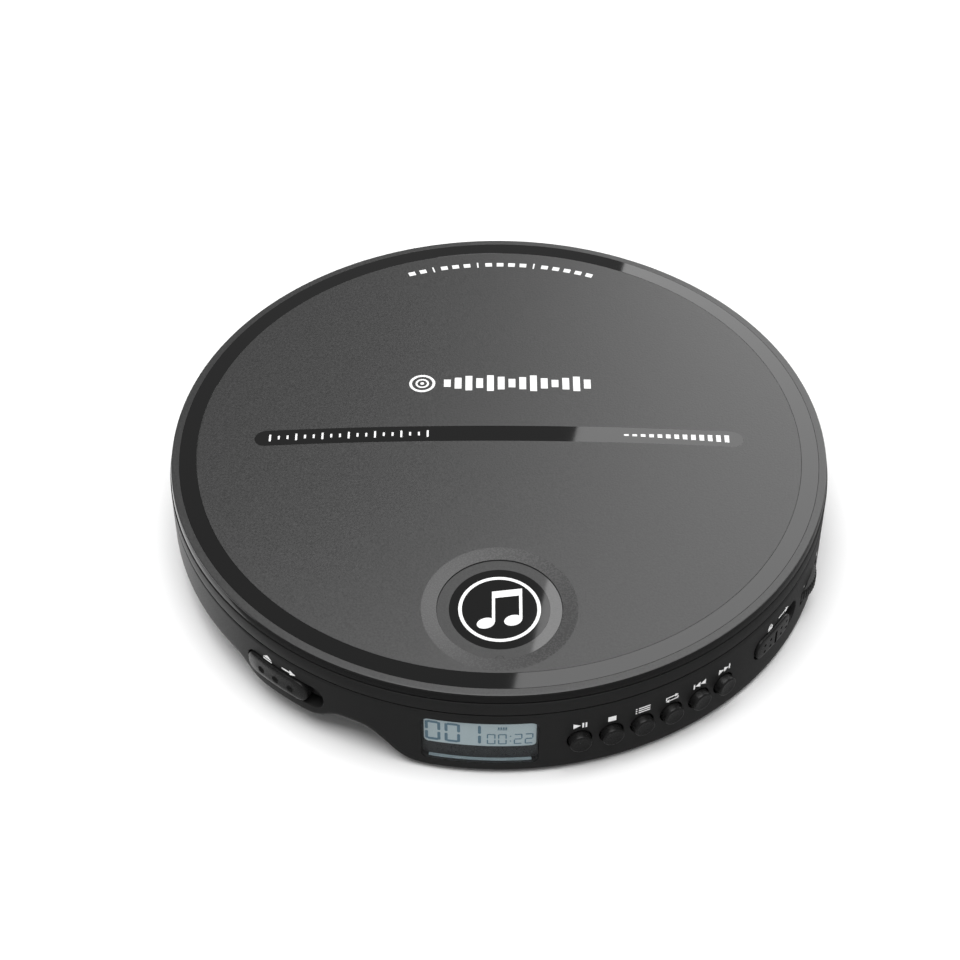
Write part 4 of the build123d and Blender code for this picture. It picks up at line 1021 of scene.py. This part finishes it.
# hold: a padlock and an arrow
lock = [[(-2.6, -0.75), (-1.0, -0.75), (-1.0, 0.15), (-2.6, 0.15)]] + arc_quads(-1.8, 0.15, 0.42, 0.66, 0, 180, 20)
arr2 = [[(1.4, -0.18), (4.2, -0.18), (4.2, 0.18), (1.4, 0.18)], [(4.2, -0.65), (5.4, 0.0), (4.2, 0.65)]]
icon(-36.7, lock + arr2, z=14.0)
# volume: a rising wedge
icon(-20.8, [[(-5.4, -0.14), (5.0, -0.5), (5.0, 0.5), (-5.4, 0.14)]], z=11.5)
vv, ff = [], []
pieces_ = []
for pts, a, z in wall:
    pieces_.append((pts, a, z))
verts, faces = [], []
for pts, a, z in pieces_:
    f_ = bent(a, z)
    n = len(pts)
    b = len(verts)
    verts += [f_(u, v, BODY_R - 0.05) for u, v in pts] + [f_(u, v, BODY_R + 0.03) for u, v in pts]
    faces.append([b + k for k in range(n)][::-1])
    faces.append([b + n + k for k in range(n)])
    for k in range(n):
        faces.append([b + k, b + (k + 1) % n, b + n + (k + 1) % n, b + n + k])
wm = raw("print_wall_symbols", verts, faces)
bm = bmesh.new()
bm.from_mesh(wm.data)
bmesh.ops.recalc_face_normals(bm, faces=bm.faces)
bm.to_mesh(wm.data)
bm.free()
put(wm, "cabinet", M_PRINT)

# ---------------------------------------------------------------- sliders
kw = (OPEN_A1 - OPEN_A0) * pi / 180 * BODY_R
ka, kz = (OPEN_A0 + OPEN_A1) / 2, (OPEN_Z0 + OPEN_Z1) / 2
o = rr_outline(kw, OPEN_Z1 - OPEN_Z0, [2.1, 2.55, 2.55, 2.1], 10, 0.6)
knob = stack("open_slider_knob", [(o, 67.0), (o, 70.66), (grow(o, -0.05), 70.84), (grow(o, -0.15), 70.95), (grow(o, -0.30), 71.0)], bent(ka, kz), 35.0)
dim = []
for i, a in enumerate((-132.8, -129.6, -126.4)):
    prs = [(0, 73.0)]
    for j in range(1, 15):
        w = pi * j / 14
        prs.append((1.1 * sin(w), 71.55 + 1.1 * cos(w)))
    prs[-1] = (0, 70.45)
    dim.append(spin("k_d%d" % i, prs, n=48, place=radial_place(a, 10.3)))
knob = cut(knob, dim)
tidy(knob, 35.0)
put(knob, "open_slide", M_KEY, ["open_slider"])
# carriage behind the open slot, near-black as painted shade in the slot
car = stack("open_slider_carriage", [(rr_outline(21.6, 4.5, 0.4, 3, 1.0), 66.9), (rr_outline(21.6, 4.5, 0.4, 3, 1.0), 68.75)], bent(-130.4, 12.0, 68.0), 35.0)
put(car, "open_slide", M_RECESS_SHADE)
hook = stack("open_latch_hook", [(rr_outline(2.9, 1.5, 0.2, 3, 1.0), z) for z in (14.3, 18.8, 19.0)],
             lambda s, q, z: ((67.65 + q) * cos(radians(-126.7) + s / 67.65), (67.65 + q) * sin(radians(-126.7) + s / 67.65), z))
put(hook, "open_slide", M_KEY, ["open_latch_hook"])

kw = (HOLD_A1 - HOLD_A0) * pi / 180 * BODY_R
ka, kz = (HOLD_A0 + HOLD_A1) / 2, (HOLD_Z0 + HOLD_Z1) / 2
o = rr_outline(kw, HOLD_Z1 - HOLD_Z0, [2.1, 2.4, 2.4, 2.1], 10, 0.6)
knob = stack("hold_slider_knob", [(o, 67.2), (o, 70.66), (grow(o, -0.05), 70.84), (grow(o, -0.15), 70.95), (grow(o, -0.30), 71.0)], bent(ka, kz), 35.0)
bar_o = rr_outline(0.75, 3.6, 0.3, 4, 0.5)
dim = [stack("k_hb", [(bar_o, 70.5), (bar_o, 73)], bent(-36.5, 9.6))]
for i, (da, dz_) in enumerate([(a_, z_) for a_ in (-39.8, -38.1, -34.8, -33.0) for z_ in (8.7, 10.5)]):
    dim.append(spin("k_hd%d" % i, [(0, 70.5), (0.36, 70.6), (0.42, 73), (0, 73)], n=24, place=radial_place(da, dz_)))
knob = cut(knob, dim)
tidy(knob, 35.0)
put(knob, "hold_slide", M_KEY, ["hold_slider"])
# carriage behind the hold slot, near-black as painted shade in the slot
car = stack("hold_slider_carriage", [(rr_outline(17.6, 3.9, 0.4, 3, 1.0), 67.2), (rr_outline(17.6, 3.9, 0.4, 3, 1.0), 68.75)], bent(ka, 11.85, 68.0), 35.0)
put(car, "hold_slide", M_RECESS_SHADE)

# ---------------------------------------------------------------- volume thumbwheel with a knurled rim
verts, faces = [], []
nk, per = 72, 8
prof_r = [(1.5, VOL_Z1, 0), (VOL_R - 0.55, VOL_Z1, 0), (VOL_R - 0.3, VOL_Z1 - 0.06, 0.35), (VOL_R - 0.06, VOL_Z1 - 0.3, 1), (VOL_R, VOL_Z1 - 0.5, 1),
          (VOL_R, VOL_Z0 + 0.5, 1), (VOL_R - 0.06, VOL_Z0 + 0.3, 1), (VOL_R - 0.3, VOL_Z0 + 0.06, 0.35), (VOL_R - 0.55, VOL_Z0, 0), (1.2, VOL_Z0, 0), (1.2, 3.6, 0), (0, 3.6, 0)]
tot = nk * per
rings_ = []
allp = [(0, VOL_Z1, 0)] + prof_r
for r, z, kf in allp:
    if r == 0:
        rings_.append([len(verts)] * tot)
        verts.append((vx, vy, z))
    else:
        rings_.append(list(range(len(verts), len(verts) + tot)))
        for k in range(tot):
            w = 2 * pi * k / tot
            ph = (k % per) / per
            rr_ = r - kf * 0.13 * (0.5 + 0.5 * cos(2 * pi * ph)) ** 1.5
            verts.append((vx + rr_ * cos(w), vy + rr_ * sin(w), z))
for i in range(len(allp) - 1):
    A_, B_ = rings_[i], rings_[i + 1]
    for k in range(tot):
        k2 = (k + 1) % tot
        u = []
        for v in (A_[k], A_[k2], B_[k2], B_[k]):
            if v not in u:
                u.append(v)
        faces.append(u)
whl = make("volume_thumbwheel", verts, faces, 40.0)
put(whl, "volume", M_KEY, ["volume_wheel"])

# ---------------------------------------------------------------- sockets: turned noses over the CAD bodies
for n_, (a, rb, rn) in JACKS.items():
    pr = rounded([(rb, 62.0), (rn, 62.0), (rn, 70.3), (rb, 70.3)], [0, 0, 0.25, 0.35], 4)
    put(spin(n_ + "_nose", pr, n=64, sharp=35.0, place=radial_place(a, JACK_Z)), "cabinet", M_CHIP if n_ == "dc_jack" else M_STEEL)

# ---------------------------------------------------------------- underside pieces
cx, cy = 0.0, (DOOR_AY + DOOR_Y1) / 2
door = stack("battery_door_cover", [(rr_outline(2 * DOOR_X - 0.5, DOOR_Y1 - DOOR_AY + 0.15, 0.3, 4, 3.0), 0.8), (rr_outline(2 * DOOR_X, DOOR_Y1 - DOOR_AY + 0.65, 0.5, 4, 3.0), 1.05),
                                    (rr_outline(2 * DOOR_X, DOOR_Y1 - DOOR_AY + 0.65, 0.5, 4, 3.0), 1.85), (rr_outline(2 * DOOR_X - 0.4, DOOR_Y1 - DOOR_AY + 0.25, 0.4, 4, 3.0), 2.1)], at(cx, cy - 0.32), 35.0)
rb_ = []
for i in range(5):
    rb_.append(stack("k_rib%d" % i, [(rr_outline(11.0, 0.6, 0.28, 3, 1.0), z) for z in (0.2, 1.15)], at(0, DOOR_Y1 - 3.2 - 1.5 * i)))
ar = raw("k_arrow", [(x * 1.0, y + DOOR_Y1 - 16.5, z) for z in (0.2, 1.05) for x, y in ((-3.0, 0.0), (3.0, 0.0), (0.0, 4.0))],
         [[2, 1, 0], [3, 4, 5], [0, 1, 4, 3], [1, 2, 5, 4], [2, 0, 3, 5]])
tidy(ar)
rb_.append(ar)
door = cut(door, rb_)
tidy(door, 35.0)
put(door, "door", M_BODY, ["battery_door"])
dpin = spin("battery_door_pins", [(0, -28.2), (0.4, -28.2), (0.5, -28.1), (0.5, 28.1), (0.4, 28.2), (0, 28.2)], n=24, place=along_x(DOOR_AY, DOOR_AZ))
put(dpin, "door", M_BODY)
for i, (x, y) in enumerate(FEET):
    pr = [(0, 0.06), (2.2, 0.03), (3.2, 0.0), (3.65, 0.02), (3.9, 0.16), (4.0, 0.4), (4.0, 1.35), (0, 1.35)]
    put(spin("foot_%d" % i, pr, n=64, sharp=40.0, place=at(x, y)), "cabinet", M_RUBBER, ["rubber_feet"] if i == 0 else ())

# ---------------------------------------------------------------- disc well, seen with the lid open
tr_prof = rounded([(16.0, TRAY_Z0), (64.4, TRAY_Z0), (64.4, TRAY_Z1 - 0.1), (63.25, TRAY_Z1), (63.25, 20.5), (62.0, 20.5), (62.0, TRAY_Z1), (16.0, TRAY_Z1)], [0, 0.1, 0.1, 0.0, 0.2, 0.35, 0.6, 0.35], 4)
tray = spin("disc_well", tr_prof, n=288, sharp=35.0)
tc_ = [stack("k_slot", [(rr_outline(43.9, 13.4, 1.0, 5, 2.0), 10), (rr_outline(43.9, 13.4, 1.0, 5, 2.0), TRAY_Z1 - 0.25), (rr_outline(44.4, 13.9, 1.2, 5, 2.0), TRAY_Z1 + 0.2)], at(-40.75, 0))]
for i, rr_ in enumerate((24.0, 41.5, 58.0)):
    tc_.append(spin("k_ring%d" % i, [(rr_ - 0.3, TRAY_Z1 + 0.4), (rr_ - 0.3, TRAY_Z1), (rr_ - 0.12, TRAY_Z1 - 0.22), (rr_ + 0.12, TRAY_Z1 - 0.22), (rr_ + 0.3, TRAY_Z1), (rr_ + 0.3, TRAY_Z1 + 0.4)], n=200))
tray = cut(tray, tc_)
tidy(tray, 35.0)
put(tray, "cabinet", M_TRAY, ["disc_tray"])

hp = [(0.75, 16.4), (3.0, 16.4), (3.0, 17.7), (14.2, 17.7), (14.5, 18.0), (14.5, 19.1), (14.3, 19.3), (12.8, 19.3), (12.6, 19.15), (12.6, 18.9), (7.5, 18.9), (7.3, 19.05), (7.3, 20.9), (7.15, 21.15), (6.1, 21.85), (5.8, 21.9), (3.4, 21.9), (3.2, 21.7), (3.2, 21.3), (0.75, 21.3)]
hub = spin("turntable_hub", hp, n=160, sharp=32.0)
hc = [spin("k_b%d" % i, [(0, -1.0)] + [(1.0 * sin(pi * j / 10), -1.0 * cos(pi * j / 10)) for j in range(1, 10)] + [(0, 1.0)], n=28,
           place=at(6.75 * cos(radians(30 + 120 * i)), 6.75 * sin(radians(30 + 120 * i)), 20.75)) for i in range(3)]
hub = cut(hub, hc)
tidy(hub, 32.0)
put(hub, "spindle", M_HUB, ["turntable"])
for i in range(3):
    pr = [(0, -0.95)] + [(0.95 * sin(pi * j / 14), -0.95 * cos(pi * j / 14)) for j in range(1, 14)] + [(0, 0.95)]
    put(spin("hub_ball_%d" % i, pr, n=32, place=at(6.75 * cos(radians(30 + 120 * i)), 6.75 * sin(radians(30 + 120 * i)), 20.75)), "spindle", M_STEEL, ["hub_balls"] if i == 0 else ())
pad = spin("turntable_rubber_ring", [(13.0, 19.25), (14.2, 19.25), (14.15, 19.42), (13.05, 19.42)], n=120)
put(pad, "spindle", M_RUBBER)

sx = -24.0
lb = stack("lens_housing", [(rr_outline(8.8, 12.0, 0.6, 4, 1.0), 12.0), (rr_outline(8.8, 12.0, 0.6, 4, 1.0), 16.9), (rr_outline(8.3, 11.5, 0.5, 4, 1.0), 17.2)], at(sx, 0), 35.0)
lb = cut(lb, [spin("k_lens", [(0, 16.0), (2.15, 16.0), (2.15, 18), (0, 18)], n=48, place=at(sx, 0)),
              stack("k_la", [(rr_outline(6.6, 1.6, 0.5, 4, 1.0), z) for z in (16.3, 18)], at(sx, 4.1)),
              stack("k_lb", [(rr_outline(6.6, 1.6, 0.5, 4, 1.0), z) for z in (16.3, 18)], at(sx, -4.1))])
tidy(lb, 35.0)
put(lb, "sled", M_CHIP, ["lens_actuator"])
lp = [(0, 18.0)] + [(1.7 * sin(radians(t)), 17.25 + 0.75 * cos(radians(t))) for t in range(12, 91, 13)] + [(2.1, 17.25), (2.1, 16.0), (0, 16.0)]
put(spin("objective_lens_dome", lp, n=64, sharp=40.0, place=at(sx, 0)), "sled", M_OPTIC, ["objective_lens"])
# threaded lead screw
verts, faces = [], []
nt_, ns_ = 28, 560
x0s, x1s = -64.0, -14.6
for i in range(ns_ + 1):
    x = x0s + (x1s - x0s) * i / ns_
    for k in range(nt_):
        w = 2 * pi * k / nt_
        ph = (x / 3.0 - k / nt_) % 1.0
        r = 1.25 - 0.22 * (1.0 if ph < 0.18 else (0.0 if ph > 0.3 else (0.3 - ph) / 0.12)) 
        verts.append((x, -17.0 + r * cos(w), 12.0 + r * sin(w)))
for i in range(ns_):
    for k in range(nt_):
        k2 = (k + 1) % nt_
        faces.append([i * nt_ + k, i * nt_ + k2, (i + 1) * nt_ + k2, (i + 1) * nt_ + k])
faces.append(list(range(nt_))[::-1])
faces.append([ns_ * nt_ + k for k in range(nt_)])
put(make("lead_screw_thread", verts, faces, 50.0), "screw", M_BRASS, ["lead_screw"])

# ---------------------------------------------------------------- floor, light, camera
fl = bpy.data.meshes.new("floor")
S_ = 6.0
fl.from_pydata([(-S_, -S_, 0), (S_, -S_, 0), (S_, S_, 0), (-S_, S_, 0)], [], [[0, 1, 2, 3]])
floor = bpy.data.objects.new("floor", fl)
scene.collection.objects.link(floor)
fm = bpy.data.materials.new("floor_pale")
fm.use_nodes = True
fb = fm.node_tree.nodes["Principled BSDF"]
fb.inputs["Base Color"].default_value = (0.93, 0.93, 0.93, 1)
fb.inputs["Roughness"].default_value = 0.9
fb.inputs["Specular IOR Level"].default_value = 0.1
floor.data.materials.append(fm)
floor.visible_glossy = False

w = bpy.data.worlds.new("studio")
scene.world = w
w.use_nodes = True
bg = w.node_tree.nodes["Background"]
bg.inputs["Color"].default_value = (1.0, 1.0, 1.0, 1)
bg.inputs["Strength"].default_value = 0.36


def area(name, loc, target, size, power, color=(1, 1, 1), shape="RECTANGLE"):
    d = bpy.data.lights.new(name, "AREA")
    d.shape = shape
    d.size, d.size_y = size
    d.energy = power
    d.color = color
    ob = bpy.data.objects.new(name, d)
    ob.location = loc
    ob.rotation_euler = (Vector(target) - Vector(loc)).to_track_quat("-Z", "Y").to_euler()
    scene.collection.objects.link(ob)
    return ob


area("overhead", (-0.05, -0.16, 1.55), (0, 0, 0), (1.4, 1.4), 31.0)
# tall soft panel behind the player on the right, its left edge leaning slightly
PW, PH, PL = 1.5, 2.5, 3.2
pan = bpy.data.lights.new("rear_panel", "AREA")
pan.shape = "RECTANGLE"
pan.size, pan.size_y = PW, PH
pan.energy = PL * pi * PW * PH
pano = bpy.data.objects.new("rear_panel", pan)
lean = radians(-4.3)
mid_z = 1.30
left_x = 0.187 - 0.0735 * mid_z
pano.matrix_world = Matrix.Translation(Vector((left_x + PW / 2 * cos(lean), 1.0, mid_z))) @ Matrix.Rotation(lean, 4, "Y") @ Matrix(((-1, 0, 0, 0), (0, 0, 1, 0), (0, 1, 0, 0), (0, 0, 0, 1)))
pano.visible_diffuse = False
scene.collection.objects.link(pano)
# low card on the left, seen only as a soft reflection in the glossy edge of the lid
crd = bpy.data.lights.new("left_card", "AREA")
crd.shape = "RECTANGLE"
crd.size, crd.size_y = 2.5, 2.3
crd.energy = 1.1 * pi * 2.5 * 2.3
card = bpy.data.objects.new("left_card", crd)
card.matrix_world = Matrix.Translation(Vector((-0.5, 1.25, -1.2))) @ Matrix(((0, 0, -1, 0), (-1, 0, 0, 0), (0, 1, 0, 0), (0, 0, 0, 1)))
card.visible_camera = False
card.visible_diffuse = False
scene.collection.objects.link(card)

cam_d = bpy.data.cameras.new("photo_camera")
cam_d.sensor_width = 36.0
cam_d.lens = 85.202
cam_d.clip_start, cam_d.clip_end = 0.01, 50.0
cam = bpy.data.objects.new("photo_camera", cam_d)
cam.location = (-0.003016, -0.353121, 0.361273)
cam.rotation_euler = Euler((radians(45.409), 0.0, radians(0.167)), "XYZ")
scene.collection.objects.link(cam)
scene.camera = cam
scene.view_settings.view_transform = "Standard"
scene.view_settings.look = "None"
